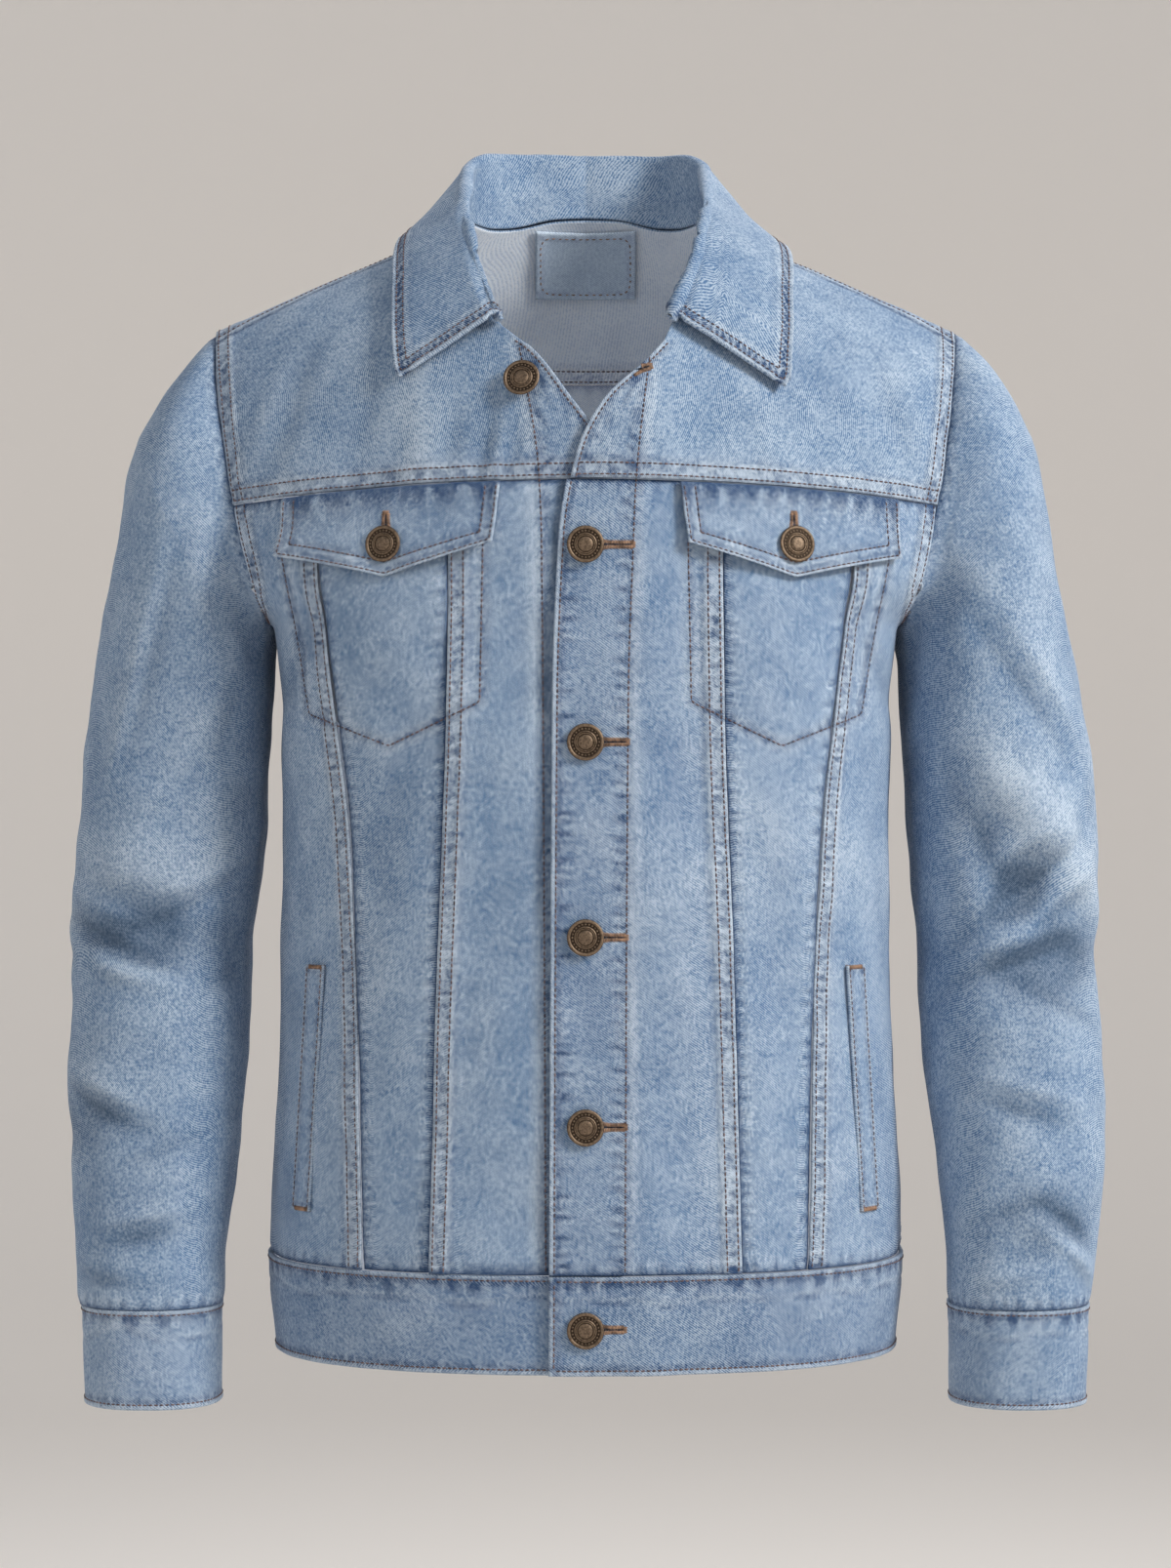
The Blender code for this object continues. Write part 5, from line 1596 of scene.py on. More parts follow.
def make_fronts():
    for side, sign in SIDES.items():
        seed = 100 + 50 * sign
        yoke = body_panel(front_yoke(side), FRONT, seed)
        yoke.strip("top", SHOULDER_STRIP, seed + 1)
        yoke.over("end", seed + 2)
        yoke.over("last", seed + 4)
        inner = ease((FRONT_TOP - yoke.grid[..., 2]) / 0.004)
        yoke.edge("first", seed + 6, share=inner)
        pulled_by(yoke, placket_outline(side), sign, seed + 7)
        placket_wear(yoke, side, sign)
        sheet(f"front_yoke_{side}", yoke)

        centre = body_panel(front_centre(side), FRONT, seed + 10)
        centre.under("top", seed + 11)
        centre.under("end", seed + 12)
        centre.edge("first", seed + 13)
        centre.over("last", seed + 14)
        pulled_by(centre, placket_outline(side), sign, seed + 7)
        placket_wear(centre, side, sign)
        pulled_by(centre, POCKET_OUTLINE, sign, seed + 17, 1.2)
        # Painted shadow that the edge of the left front, lapped over this one, casts on the right front.
        if side == "right":
            lap_edge = read(FRONT_EDGE["left"], "across", centre.grid[..., 2])
            centre.shade += 1.1 * hump(centre.grid[..., 0], lap_edge - 0.002, 0.0026)
        sheet(f"front_centre_{side}", centre)

        middle = body_panel(front_middle(side), FRONT, seed + 20)
        for name in ("top", "end", "first", "last"):
            middle.under(name, seed + 21 + len(name))
        pulled_by(middle, POCKET_OUTLINE, sign, seed + 17, 1.4)
        sheet(f"front_middle_{side}", middle)

        panel = body_panel(front_side(side), FRONT, seed + 30)
        panel.under("top", seed + 31)
        panel.under("end", seed + 32)
        panel.over("first", seed + 33)
        side_borders(panel, seed + 35)
        pulled_by(panel, POCKET_OUTLINE, sign, seed + 17, 1.4)
        sheet(f"front_side_{side}", panel)


def make_back():
    for side, sign in SIDES.items():
        seed = 400 + 50 * sign
        panel = body_panel(back_side(side), BACK, seed)
        panel.under("top", seed + 1)
        panel.under("end", seed + 2)
        panel.under("first", seed + 3)
        side_borders(panel, seed + 5)
        sheet(f"back_side_{side}", panel)
    centre = body_panel(back_centre(), BACK, 470)
    centre.under("top", 471)
    centre.under("end", 472)
    centre.over("first", 473)
    centre.over("last", 475)
    sheet("back_centre", centre)
    yoke = body_panel(back_yoke(), BACK, 480)
    yoke.over("end", 481)
    for name in ("first", "last"):
        away, _ = yoke.border(name)
        yoke.ledge = np.maximum(yoke.ledge, LEDGE * (1 - ease((away - NEAR_SEAM) / NEAR_SEAM)))
    sheet("back_yoke", yoke)


def make_sleeves():
    for side, sign in SIDES.items():
        seed = 600 + 50 * sign
        centre = (sign * SLEEVE_MIDDLE[0], *SLEEVE_MIDDLE[1:])
        spans = {"upper": (math.pi, -SLEEVE_SEAM_TURN), "under": (-SLEEVE_SEAM_TURN, -math.pi)}
        for part, (start, end) in spans.items():
            grid, rise = sleeve_rings(side, start, end, SLEEVE_COLUMNS[part])
            piece = Relief(grid)
            piece.folds(rise, pale=0.34, dark=0.85)
            piece.soften(seed, large=0.0013, small=0.00045)
            piece.under("top", seed + 2)
            piece.under("end", seed + 3)
            if part == "upper":
                piece.over("last", seed + 4)
            else:
                piece.under("first", seed + 5)
            sheet(f"sleeve_{part}_{side}", piece, centre=centre)


def roped(relief, seed, share=1.0):
    """The dark and pale blots and the long pucker below the top seam of a band."""
    away, along = relief.border("top")
    wave = 0.5 + 0.5 * waver(along, 0.0125, seed)
    pucker = 0.015 + 0.003 * waver(along, 0.07, seed + 1)
    slow = 0.35 + 0.65 * ease(0.5 + 0.9 * waver(along, 0.055, seed + 3))
    reach = 0.0052 + 0.0014 * waver(along, 0.03, seed + 4)
    relief.deep += 0.9 * share * slow * hump(away, reach, 0.004) * ease(1.7 * wave - 0.45)
    relief.wear += 0.45 * share * hump(away, 0.0058, 0.0036) * ease(0.9 - 1.8 * wave)
    relief.deep += 0.42 * share * hump(away, pucker, 0.0011) * ease(0.6 + waver(along, 0.04, seed + 2))
    relief.wear += 0.3 * share * hump(away, pucker - 0.0024, 0.0014)
    relief.lift -= 0.0005 * share * hump(away, pucker, 0.002)
    relief.lift -= 0.0005 * share * hump(away, 0.006, 0.003) * wave


def make_bands():
    band = Relief(waistband())
    band.soften(700, large=0.0003)
    band.seam += 0.12
    # Painted shade darkens the whole band.
    band.deep += 0.24
    roped(band, 711)
    band.edge("top", 701, height=0.0003, width=0.0022)
    band.edge("end", 703)
    band.edge("first", 705)
    band.edge("last", 706)
    sheet("waistband", band, DOUBLED)
    for side, sign in SIDES.items():
        piece = Relief(cuff(side))
        piece.soften(720 + sign, large=0.0003)
        piece.seam += 0.12
        piece.deep += 0.12
        roped(piece, 731 + sign, 0.8)
        piece.edge("top", 722 + sign, height=0.0003, width=0.0022)
        piece.edge("end", 725 + sign)
        low = (sign * CUFF_MIDDLE[0], *CUFF_MIDDLE[1:])
        sheet(f"cuff_{side}", piece, DOUBLED, centre=low, ring=True)


def make_collar():
    piece = Relief(collar())
    piece.soften(740, large=0.0009, small=0.0003)
    for name, seed in (("end", 741), ("first", 744), ("last", 747)):
        piece.edge(name, seed, height=0.0007, width=0.0026)
        away, along = piece.border(name)
        wave = 0.5 + 0.5 * np.sin(2 * math.pi * (along + 0.25 * away) / 0.0044 + waver(along, 0.02, seed))
        between = hump(away, 0.0058, 0.0026)
        piece.lift -= 0.0005 * between * wave
        piece.deep += 0.85 * between * ease(wave * 1.5 - 0.35)
        piece.wear += 0.5 * between * ease(1 - 1.5 * wave)
        piece.wear += 0.45 * hump(away, 0.0104, 0.0018) * (1 - 0.5 * wave)
        piece.deep += 0.25 * hump(away, 0.0137, 0.002) * wave
        piece.seam = np.maximum(piece.seam, hump(away, 0.0045, 0.0035))
    sheet("collar", piece, DOUBLED, (outside, outside))


def make_pockets():
    for side, sign in SIDES.items():
        seed = 800 + 30 * sign
        flap = Relief(pocket_flap(side))
        flap.soften(seed, large=0.0005)
        low = ease((flap.down / flap.down[-1:] - 0.45) / 0.55)
        flap.lift += FLAP_LIFT * low
        flap.lift += FLAP_CURL[side] * low * (0.5 + 0.5 * waver(flap.across, 0.06, seed + 1))
        flap.lift *= 1 - hump(flap.grid[..., 0], sign * (FLAP_BUTTON["across"] + FLAP_SHIFT[side]), 0.015)
        for number, name in enumerate(("first", "last", "end")):
            flap.edge(name, seed + 2 + number, height=0.0006, width=0.0024)
            flap.row(name, SEAM_ROWS[1], seed + 6 + number)
        flap.under("top", seed + 9)
        away, along = flap.border("top")
        blots = 0.5 + 0.5 * waver(along + 0.3 * away, 0.016, seed + 10)
        flap.deep += 0.8 * hump(away, 0.003, 0.009) * ease(0.15 + 1.2 * blots)
        flap.seam = np.maximum(flap.seam, 0.4)
        sheet(f"pocket_flap_{side}", flap, DOUBLED, (outside, outside))
        bag = Relief(chest_pocket(side))
        sheet(f"chest_pocket_{side}", bag, POCKETING, (inside, inside))
        welt = Relief(pocket_welt(side))
        for number, name in enumerate(("top", "end", "first", "last")):
            welt.edge(name, seed + 12 + number, height=0.0004, width=0.0018)
        sheet(f"pocket_welt_{side}", welt)


def make_patch():
    piece = Relief(neck_patch())
    for number, name in enumerate(("top", "end", "first", "last")):
        piece.row(name, 0.003, 900 + number)
    sheet("neck_patch", piece, CLOTH, (patch_face, patch_face))


def rows_of(piece, border, distances, first=0.004, last=0.004):
    return [stitches(seam_line(piece, border, away), (first, last)) for away in distances]


def part_of_line(line, kept):
    points, normals = line
    return points[kept], normals[kept]


def make_stitching():
    tree = search_tree([f"{part}_{side}" for part in FRONT_PIECES for side in SIDES])
    runs = {"body": [], "sleeves": [], "pockets": [], "waistband": [], "collar": []}
    for side, sign in SIDES.items():
        pocket = along_places(POCKET_OUTLINE) * np.array([sign, 1.0])
        runs["pockets"].append(stitches(on_cloth(tree, pocket)))
        for group, part, border, distances, first, last in SIDE_ROWS:
            runs[group] += rows_of(f"{part}_{side}", border, distances, first, last)
        runs["body"] += rows_of("back_centre", "first" if sign > 0 else "last", SEAM_ROWS, 0.001, 0.001)
        for piece in (f"front_side_{side}", f"back_side_{side}"):
            for away in SEAM_ROWS:
                line = seam_line(piece, "last", away)
                above = line[0][:, 2] > ARMPIT + 0.004
                runs["body"].append(stitches(part_of_line(line, above)))
        line = seam_line(f"front_yoke_{side}", "first", EDGE_ROW[0])
        runs["body"].append(stitches(part_of_line(line, line[0][:, 2] < FRONT_TOP)))
        outline = placket_outline(side) * np.array([sign, 1.0])
        runs["body"].append(stitches(on_cloth(tree, along_places(outline))))
    runs["body"] += rows_of("back_yoke", "end", SEAM_ROWS, 0.001, 0.001)
    runs["waistband"] += rows_of("waistband", "top", BAND_ROW)
    for border in ("end", "first", "last"):
        runs["waistband"] += rows_of("waistband", border, EDGE_ROW)
    for away in COLLAR_ROWS:
        for border in ("first", "last"):
            runs["collar"] += rows_of("collar", border, (away,), 0.006, away)
        runs["collar"] += rows_of("collar", "end", (away,), away, away)
    for group, lines in runs.items():
        thread_bars(f"stitching_{group}", lines, seam_thread())


def patch_outline(radius=0.006, inset=0.003):
    """A rounded rectangle just inside the patch's edge."""
    half = PATCH["half_width"] - inset
    top = PATCH["top"] - inset
    end = PATCH["end"] + inset
    places = []
    corners = (
        (half - radius, top - radius, 0),
        (-half + radius, top - radius, 90),
        (-half + radius, end + radius, 180),
        (half - radius, end + radius, 270),
    )
    for across, height, start in corners:
        for angle in np.radians(start + np.linspace(0, 90, 7)):
            places.append((across + radius * math.cos(angle), height + radius * math.sin(angle)))
    return places + places[:1]


def crossed(run, length):
    """The same places with each stitch turned across the line, at a new length."""
    middles, along, up = run
    side = np.cross(up, along)
    side /= np.linalg.norm(side, axis=1, keepdims=True)
    return middles, side * length, up


def lips(tree, start, end, wide=0.0012, pitch=0.0008, eye=0.006):
    """The closely stitched lips of a buttonhole between two places, and the bar tack at its end."""
    start = np.array(start)
    end = np.array(end)
    way = (end - start) / np.linalg.norm(end - start)
    aside = np.array([-way[1], way[0]])
    runs = []
    for sign in (-1, 1):
        opening = start + sign * wide * 2.3 * aside
        narrow = start + way * eye + sign * wide * aside
        line = on_cloth(tree, along_places((opening, narrow, end + sign * wide * aside), 0.001))
        runs.append(crossed(stitches(line, pitch=pitch), 0.0026))
    return runs + bar_tack(tree, end - aside * 0.0022, end + aside * 0.0022)


def bar_tack(tree, start, end, length=0.0026):
    line = on_cloth(tree, along_places((start, end), 0.0006))
    return [crossed(stitches(line, pitch=0.0007), length)]


def slit_shadow(tree, start, end):
    """A painted shadow: the dark line between a buttonhole's lips."""
    line = on_cloth(tree, along_places((start, end), 0.001))
    return stitches(line, pitch=0.006, length=0.0072)


def make_buttonholes():
    fronts = [f"{part}_{side}" for part in FRONT_PIECES for side in SIDES]
    tree = search_tree(fronts + ["pocket_flap_left", "pocket_flap_right", "waistband"])
    plain = search_tree(fronts + ["pocket_welt_left", "pocket_welt_right"])
    holes = [((TOP_HOLE["inner"], TOP_HOLE["inner_height"]), (TOP_HOLE["outer"], TOP_HOLE["height"]))]
    for height in (*FRONT_BUTTONS, BAND_BUTTON):
        holes.append(((CAP_RADIUS * 0.6, height), (float(read(PLACKET["left"], "across", height)), height)))
    for side, sign in SIDES.items():
        across = sign * (FLAP_BUTTON["across"] + FLAP_SHIFT[side])
        foot = FLAP_BUTTON["height"] + CAP_RADIUS * 0.6
        holes.append(((across, foot), (across, FLAP_BUTTON["height"] + HOLE_LENGTH + 0.001)))
    runs = []
    # The lips' stitching, and the painted shadows that lie between them.
    gaps = []
    for start, end in holes:
        runs += lips(tree, start, end)
        gaps.append(slit_shadow(tree, start, end))
    for sign in SIDES.values():
        for height, across in (("top", "across_top"), ("end", "across_end")):
            middle = WELT[across]
            ends = ((sign * (middle - 0.0052), WELT[height]), (sign * (middle + 0.0052), WELT[height]))
            inward = 0.0012 if height == "end" else -0.0012
            ends = [(place[0], place[1] + inward) for place in ends]
            runs += bar_tack(plain, *ends)
    shadow_material = material_of("Buttonhole gap", lambda made: thread_material(made, SLIT_SHADOW_COLOUR))
    thread_bars("buttonhole_stitching", runs, hole_thread(), width=0.00085, rise=0.0005)
    thread_bars("buttonhole_painted_shadows", gaps, shadow_material, width=0.0011, rise=0.0002)


def inside_out(line, depth):
    """A line carried through to the inner side of its sheet."""
    points, normals = line
    return points - normals * depth, -normals


def make_patch_stitching():
    places = along_places(patch_outline(), 0.001)
    points = body(places[:, 0], places[:, 1], BACK)
    step = 0.002
    across = body(places[:, 0] + step, places[:, 1], BACK) - body(places[:, 0] - step, places[:, 1], BACK)
    up = body(places[:, 0], places[:, 1] + step, BACK) - body(places[:, 0], places[:, 1] - step, BACK)
    inward = np.cross(across, up)
    inward /= np.linalg.norm(inward, axis=1, keepdims=True)
    inward *= -np.sign(inward[:, 1:2])
    seat = points + inward * (2 * CLOTH + PATCH_GAP)
    run = stitches((seat, inward), pitch=0.0042, length=0.0031)
    thread_bars("stitching_patch", [run], hole_thread())
    runs = [stitches(inside_out(seam_line("back_yoke", "end", away), CLOTH)) for away in SEAM_ROWS]
    thread_bars("stitching_inside_yoke", runs, seam_thread())


# The rings of a button's cap, from its rim to its middle: how far each comes in, and how far up.
CAP_RINGS = (
    (0.0005, 0.0005),
    (0.0006, 0.0002),
    (0.0006, -0.0003),
    (0.0003, -0.0004),
    (0.0018, 0.0),
    (0.0003, 0.0005),
    (0.0004, 0.0001),
    (0.0003, -0.0004),
    (0.0003, 0.0004),
    (0.0004, 0.0),
    (0.0003, -0.0005),
    (0.0006, 0.0005),
    (0.001, 0.0003),
    (0.0012, 0.0001),
    (0.001, -0.0001),
)
CAP_BASE = 0.001
CAP_SIDES = 48
CAP_UNDERSIDE = 0.94
CAP_CREASE = math.radians(50)
DOME_RADIUS = 0.0045
DOTS = 24
DOT_RING = 0.0073
DOT_RADIUS = 0.0007


def button_model():
    """A turned cap with rings, a ring of dots and a dome, on its shank."""
    deselect_all()
    bpy.ops.mesh.primitive_cylinder_add(
        vertices=CAP_SIDES, radius=CAP_RADIUS, depth=CAP_BASE, location=(0, 0, CAP_RISE + CAP_BASE / 2)
    )
    model = bpy.context.object
    bpy.ops.object.transform_apply(location=True)
    mesh = model.data
    bpy.ops.object.mode_set(mode="EDIT")
    bpy.ops.mesh.select_mode(type="FACE")
    select_faces(mesh, lambda face: face.normal.z < -0.9)
    bpy.ops.transform.resize(value=(CAP_UNDERSIDE, CAP_UNDERSIDE, 1))
    bpy.ops.mesh.inset(thickness=CAP_RADIUS * CAP_UNDERSIDE - SHANK_RADIUS, depth=0)
    move = {"value": (0, 0, SEAT_GAP - CAP_RISE)}
    bpy.ops.mesh.extrude_region_move(TRANSFORM_OT_translate=move)
    select_faces(mesh, lambda face: face.normal.z > 0.9)
    for inward, up in CAP_RINGS:
        bpy.ops.mesh.inset(thickness=inward, depth=up)
    bpy.ops.object.mode_set(mode="OBJECT")
    floor = CAP_RISE + CAP_BASE + sum(up for _, up in CAP_RINGS[:4])
    dots = []
    for number in range(DOTS):
        angle = 2 * math.pi * number / DOTS
        place = (DOT_RING * math.cos(angle), DOT_RING * math.sin(angle), floor)
        deselect_all()
        bpy.ops.mesh.primitive_ico_sphere_add(subdivisions=1, radius=DOT_RADIUS, location=place)
        bpy.context.object.scale.z = 0.8
        bpy.ops.object.transform_apply(location=True, scale=True)
        dots.append(bpy.context.object)
    deselect_all()
    for dot in dots:
        dot.select_set(True)
    model.select_set(True)
    bpy.context.view_layer.objects.active = model
    bpy.ops.object.join()
    bpy.ops.object.shade_smooth_by_angle(angle=CAP_CREASE)
    points = np.array([vertex.co[:] for vertex in mesh.vertices])
    across = np.linalg.norm(points[:, :2], axis=1)
    high = np.clip((points[:, 2] - floor) / 0.0004, 0, 1)
    rubbed = np.where(across < DOME_RADIUS, 0.1 + 0.75 * high, 0.1 + 0.9 * high)
    rubbed = np.where(points[:, 2] < CAP_RISE + CAP_BASE * 0.5, 0.25, rubbed)
    add_values(mesh, "rubbed", rubbed)
    return model


def place_button(model, name, place, normal, material):
    """A copy of the button, with its own mesh, standing on its seat and facing along the normal."""
    thing = model.copy()
    thing.data = model.data.copy()
    thing.name = f"bronze_{name}"
    thing.data.name = thing.name
    bpy.context.scene.collection.objects.link(thing)
    thing.location = place
    thing.rotation_euler = Vector(normal).to_track_quat("Z", "Y").to_euler()
    make_active(thing)
    bpy.ops.object.transform_apply(location=True, rotation=True, scale=True)
    deselect_all()
    thing.data.materials.clear()
    thing.data.materials.append(material)
    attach(thing, "root")
    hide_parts(name)


def make_buttons():
    model = button_model()
    metal = material_of("Aged bronze", aged_bronze)
    place, normal = front_seat(abs(TOP_BUTTON["across"]), TOP_BUTTON["height"])
    mirror = np.array([-1.0, 1.0, 1.0])
    place = place - normal * TOP_BUTTON_SINK
    place_button(model, "button_front_1", place * mirror, normal * mirror, metal)
    for number, height in enumerate(FRONT_BUTTONS, start=2):
        place, normal = front_seat(0.0, height)
        place_button(model, f"button_front_{number}", place, normal, metal)
    place, normal = front_seat(0.0, BAND_BUTTON)
    place_button(model, "button_front_6", place + normal * BAND_OUT, normal, metal)
    for side, sign in SIDES.items():
        place, normal = front_seat(FLAP_BUTTON["across"] + FLAP_SHIFT[side], FLAP_BUTTON["height"])
        mirror = np.array([float(sign), 1.0, 1.0])
        place_button(model, f"button_flap_{side}", place * mirror, normal * mirror, metal)
    bpy.data.objects.remove(model, do_unlink=True)


def stage_material(name):
    """Plain painted board, with the faintest unevenness."""
    floor = bpy.context.scene.jacket_look.floor
    material, tree, shader = new_material(name)
    place = add_node(tree, "ShaderNodeTexCoord").outputs["Object"]
    slow = ranged(tree, noise(tree, place, 0.6, 1.0), 0.3, 0.7)
    pale = (*(min(1.0, part * 1.01) for part in floor), 1)
    colour = blended(tree, slow, (*floor, 1), pale)
    feed(tree, shader, {"Base Color": colour, "Roughness": 0.95, "Specular IOR Level": 0.05})
    return material


def add_lamp(name, place, power, size, colour):
    """A soft round lamp that is aimed at the jacket."""
    deselect_all()
    way = (Vector(JACKET_MIDDLE) - Vector(place)).to_track_quat("-Z", "Y").to_euler()
    bpy.ops.object.light_add(type="AREA", location=place, rotation=way)
    lamp = bpy.context.object
    lamp.name = name
    lamp.data.shape = "DISK"
    lamp.data.size = size
    lamp.data.energy = power
    lamp.data.color = colour


# The stage, its lamps and its camera. Each lamp has its place, its size and its colour; the one
# behind has a fixed share of the key light's power.
STAGE_RADIUS = 6.0
STAGE_FLOOR = -1.45
STAGE_HEIGHT = 4.2
STAGE_CURVE = 1.6
JACKET_MIDDLE = (0.0, 0.0, -0.3)
LAMPS = {
    "key": ((2.25, -1.45, 1.25), 1.0, (1.0, 0.985, 0.96)),
    "fill": ((-1.9, -2.0, 0.1), 1.8, (0.92, 0.96, 1.0)),
    "behind": ((0.4, 2.4, 1.6), 1.6, (1.0, 1.0, 1.0)),
}
BEHIND_SHARE = 0.5
ROOM_COLOUR = (0.92, 0.95, 1.0, 1)
CAMERA_PLACE = (0, -2.1, -0.321)
CAMERA_LENS = 82.5
CAMERA_SENSOR = 36


def make_stage():
    look = bpy.context.scene.jacket_look
    deselect_all()
    middle = STAGE_FLOOR + STAGE_HEIGHT / 2
    bpy.ops.mesh.primitive_cylinder_add(
        vertices=128, radius=STAGE_RADIUS, depth=STAGE_HEIGHT, location=(0, 0, middle)
    )
    dish = bpy.context.object
    dish.name = "floor"
    bpy.ops.object.transform_apply(location=True)
    bpy.ops.object.mode_set(mode="EDIT")
    bpy.ops.mesh.select_mode(type="FACE")
    select_faces(dish.data, lambda face: face.normal.z > 0.9)
    bpy.ops.mesh.delete(type="FACE")
    bpy.ops.mesh.select_all(action="SELECT")
    bpy.ops.mesh.flip_normals()
    bpy.ops.object.mode_set(mode="OBJECT")
    rim = dish.modifiers.new("Curve", "BEVEL")
    rim.width = STAGE_CURVE
    rim.segments = 16
    rim.limit_method = "ANGLE"
    rim.angle_limit = math.radians(60)
    apply_modifier(dish, rim)
    dish.data.shade_smooth()
    dish.data.materials.append(material_of("Pale board", stage_material))
    world = bpy.data.worlds.new("Soft room")
    bpy.context.scene.world = world
    world.use_nodes = True
    backdrop = world.node_tree.nodes["Background"]
    backdrop.inputs["Color"].default_value = ROOM_COLOUR
    backdrop.inputs["Strength"].default_value = look.room_light
    shares = {"key": 1.0, "fill": look.fill_share, "behind": BEHIND_SHARE}
    for name, (place, size, colour) in LAMPS.items():
        add_lamp(name, place, look.key_light * shares[name], size, colour)
    deselect_all()
    bpy.ops.object.camera_add(location=CAMERA_PLACE, rotation=(math.pi / 2, 0, 0))
    camera = bpy.context.object
    camera.name = "camera"
    camera.data.sensor_width = CAMERA_SENSOR
    camera.data.lens = CAMERA_LENS
    bpy.context.scene.camera = camera
    bpy.context.scene.view_settings.view_transform = "Standard"


def colour_setting(name, description, value):
    return bpy.props.FloatVectorProperty(
        name=name, description=description, default=value, subtype="COLOR", size=3, min=0, max=1
    )


class JacketLook(bpy.types.PropertyGroup):
    """The colours of the jacket and the light of its stage."""

    indigo: colour_setting("Indigo", "Colour of the washed denim", (0.08, 0.188, 0.362))
    # The faded colour is also the painted highlight on folds.
    faded: colour_setting("Faded", "Colour of worn edges and crests", (0.515, 0.605, 0.705))
    # The dark colour is also the painted shade in fold hollows, along seams that run in below another piece
    # and over the waistband.
    dark: colour_setting("Dark", "Colour that stays in seams and hollows", (0.022, 0.06, 0.15))
    inside: colour_setting("Inside", "Colour of the cloth's inner side", (0.8, 0.89, 1.0))
    inside_faded: colour_setting("Inside, pale threads", "Pale threads of the inner side", (0.93, 0.96, 1.0))
    inside_dark: colour_setting("Inside, dark threads", "Dark threads of the inner side", (0.3, 0.36, 0.52))
    patch: colour_setting("Patch", "Colour of the bare neck patch", (0.44, 0.56, 0.7))
    patch_faded: colour_setting("Patch, pale threads", "Pale threads of the patch", (0.72, 0.82, 0.92))
    thread: colour_setting("Thread", "Colour of the seams' thread", (0.15, 0.105, 0.105))
    tack: colour_setting("Tack", "Colour of the buttonholes' and tacks' thread", (0.31, 0.195, 0.13))
    metal: colour_setting("Metal", "Colour of rubbed bronze", (0.27, 0.195, 0.135))
    metal_dark: colour_setting("Dark metal", "Colour of tarnished bronze", (0.036, 0.025, 0.018))
    floor: colour_setting("Floor", "Colour of the stage", (0.92, 0.88, 0.838))
    key_light: bpy.props.FloatProperty(
        name="Key light", description="Power of the main soft light, in watts", default=80.0, min=0
    )
    fill_share: bpy.props.FloatProperty(
        name="Fill", description="The fill light's share of the key light's power", default=0.05, min=0, max=1
    )
    room_light: bpy.props.FloatProperty(
        name="Room light", description="Strength of the light from all round", default=0.45, min=0
    )


class Maker:
    """What the operators share: each runs its own makers in turn."""

    def execute(self, context):
        for make in self.makers:
            make()
        return {"FINISHED"}


class MakeFronts(Maker, bpy.types.Operator):
    """Makes the yokes, centres, middles and sides of both fronts"""

    bl_idname = "jacket.fronts"
    bl_label = "Fronts"
    makers = (make_fronts,)


class MakeBack(Maker, bpy.types.Operator):
    """Makes the back yoke and the three panels of the back"""

    bl_idname = "jacket.back"
    bl_label = "Back"
    makers = (make_back,)


class MakeSleeves(Maker, bpy.types.Operator):
    """Makes the two parts of each sleeve, with their folds"""

    bl_idname = "jacket.sleeves"
    bl_label = "Sleeves"
    makers = (make_sleeves,)


class MakeBands(Maker, bpy.types.Operator):
    """Makes the waistband and the cuffs"""

    bl_idname = "jacket.bands"
    bl_label = "Waistband and cuffs"
    makers = (make_bands,)


class MakeCollar(Maker, bpy.types.Operator):
    """Makes the turned-down collar"""

    bl_idname = "jacket.collar"
    bl_label = "Collar"
    makers = (make_collar,)


class MakePockets(Maker, bpy.types.Operator):
    """Makes the pocket flaps, the chest pockets' bags and the side pockets' welts"""

    bl_idname = "jacket.pockets"
    bl_label = "Pockets"
    makers = (make_pockets,)


class MakePatch(Maker, bpy.types.Operator):
    """Makes the bare patch inside the neck"""

    bl_idname = "jacket.patch"
    bl_label = "Neck patch"
    makers = (make_patch,)


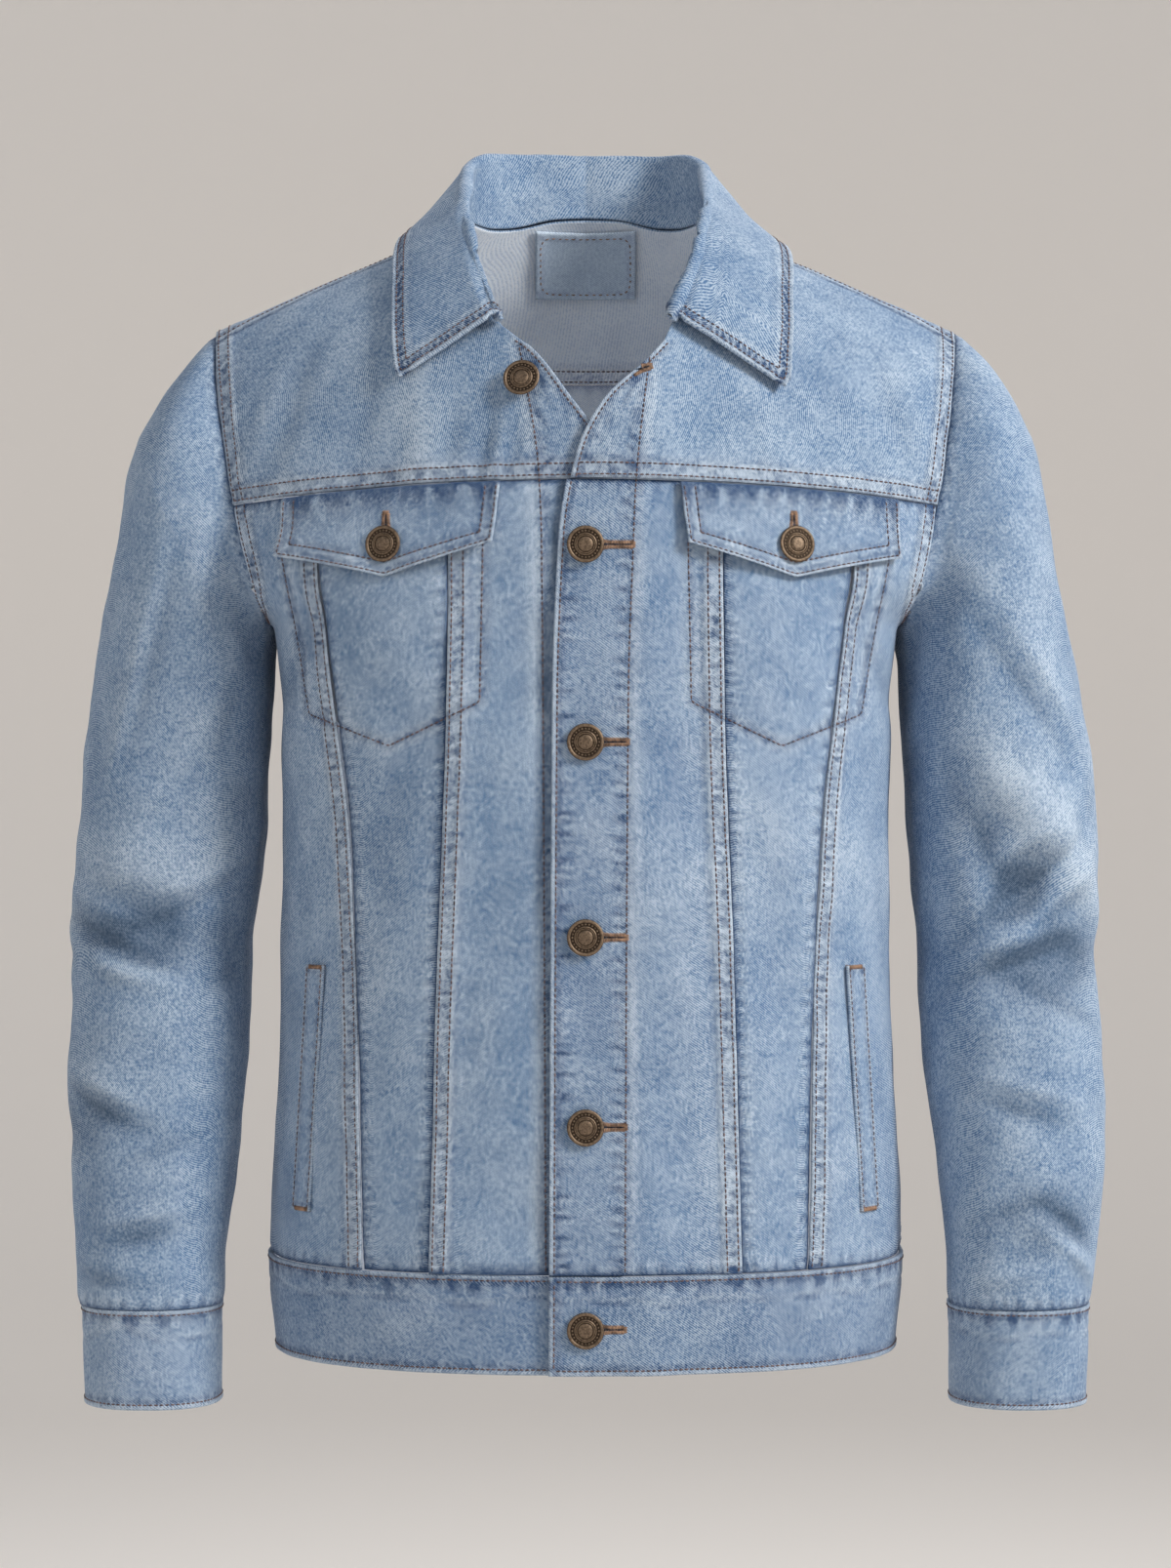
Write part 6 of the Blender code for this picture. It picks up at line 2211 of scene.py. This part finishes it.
class MakeStitching(Maker, bpy.types.Operator):
    """Lays the rows of stitches along the seams and edges"""

    bl_idname = "jacket.stitching"
    bl_label = "Stitching"
    makers = (make_stitching, make_patch_stitching)


class MakeButtonholes(Maker, bpy.types.Operator):
    """Makes the buttonholes and the bar tacks"""

    bl_idname = "jacket.buttonholes"
    bl_label = "Buttonholes"
    makers = (make_buttonholes,)


class MakeButtons(Maker, bpy.types.Operator):
    """Makes one button and sets its copies on the fronts, the waistband and the flaps"""

    bl_idname = "jacket.buttons"
    bl_label = "Buttons"
    makers = (make_buttons,)


class MakeStage(Maker, bpy.types.Operator):
    """Makes the floor, the lights and the camera"""

    bl_idname = "jacket.stage"
    bl_label = "Stage"
    makers = (make_stage,)


class JacketPanel(bpy.types.Panel):
    """The jacket's settings and its pieces"""

    bl_idname = "VIEW3D_PT_jacket"
    bl_label = "Denim jacket"
    bl_space_type = "VIEW_3D"
    bl_region_type = "UI"
    bl_category = "Jacket"

    def draw(self, context):
        for label in JacketLook.__annotations__:
            self.layout.prop(context.scene.jacket_look, label)
        for piece in PIECES:
            self.layout.operator(piece.bl_idname)


PIECES = (
    MakeFronts,
    MakeBack,
    MakeSleeves,
    MakeBands,
    MakeCollar,
    MakePockets,
    MakePatch,
    MakeStitching,
    MakeButtonholes,
    MakeButtons,
    MakeStage,
)


def register():
    for part in (JacketLook, *PIECES, JacketPanel):
        bpy.utils.register_class(part)
    bpy.types.Scene.jacket_look = bpy.props.PointerProperty(type=JacketLook)


def unregister():
    del bpy.types.Scene.jacket_look
    for part in reversed((JacketLook, *PIECES, JacketPanel)):
        bpy.utils.unregister_class(part)


def main():
    register()
    bpy.ops.jacket.fronts()
    bpy.ops.jacket.back()
    bpy.ops.jacket.sleeves()
    bpy.ops.jacket.bands()
    bpy.ops.jacket.collar()
    bpy.ops.jacket.pockets()
    bpy.ops.jacket.patch()
    bpy.ops.jacket.stitching()
    bpy.ops.jacket.buttonholes()
    bpy.ops.jacket.buttons()
    bpy.ops.jacket.stage()


if __name__ == "__main__":
    main()
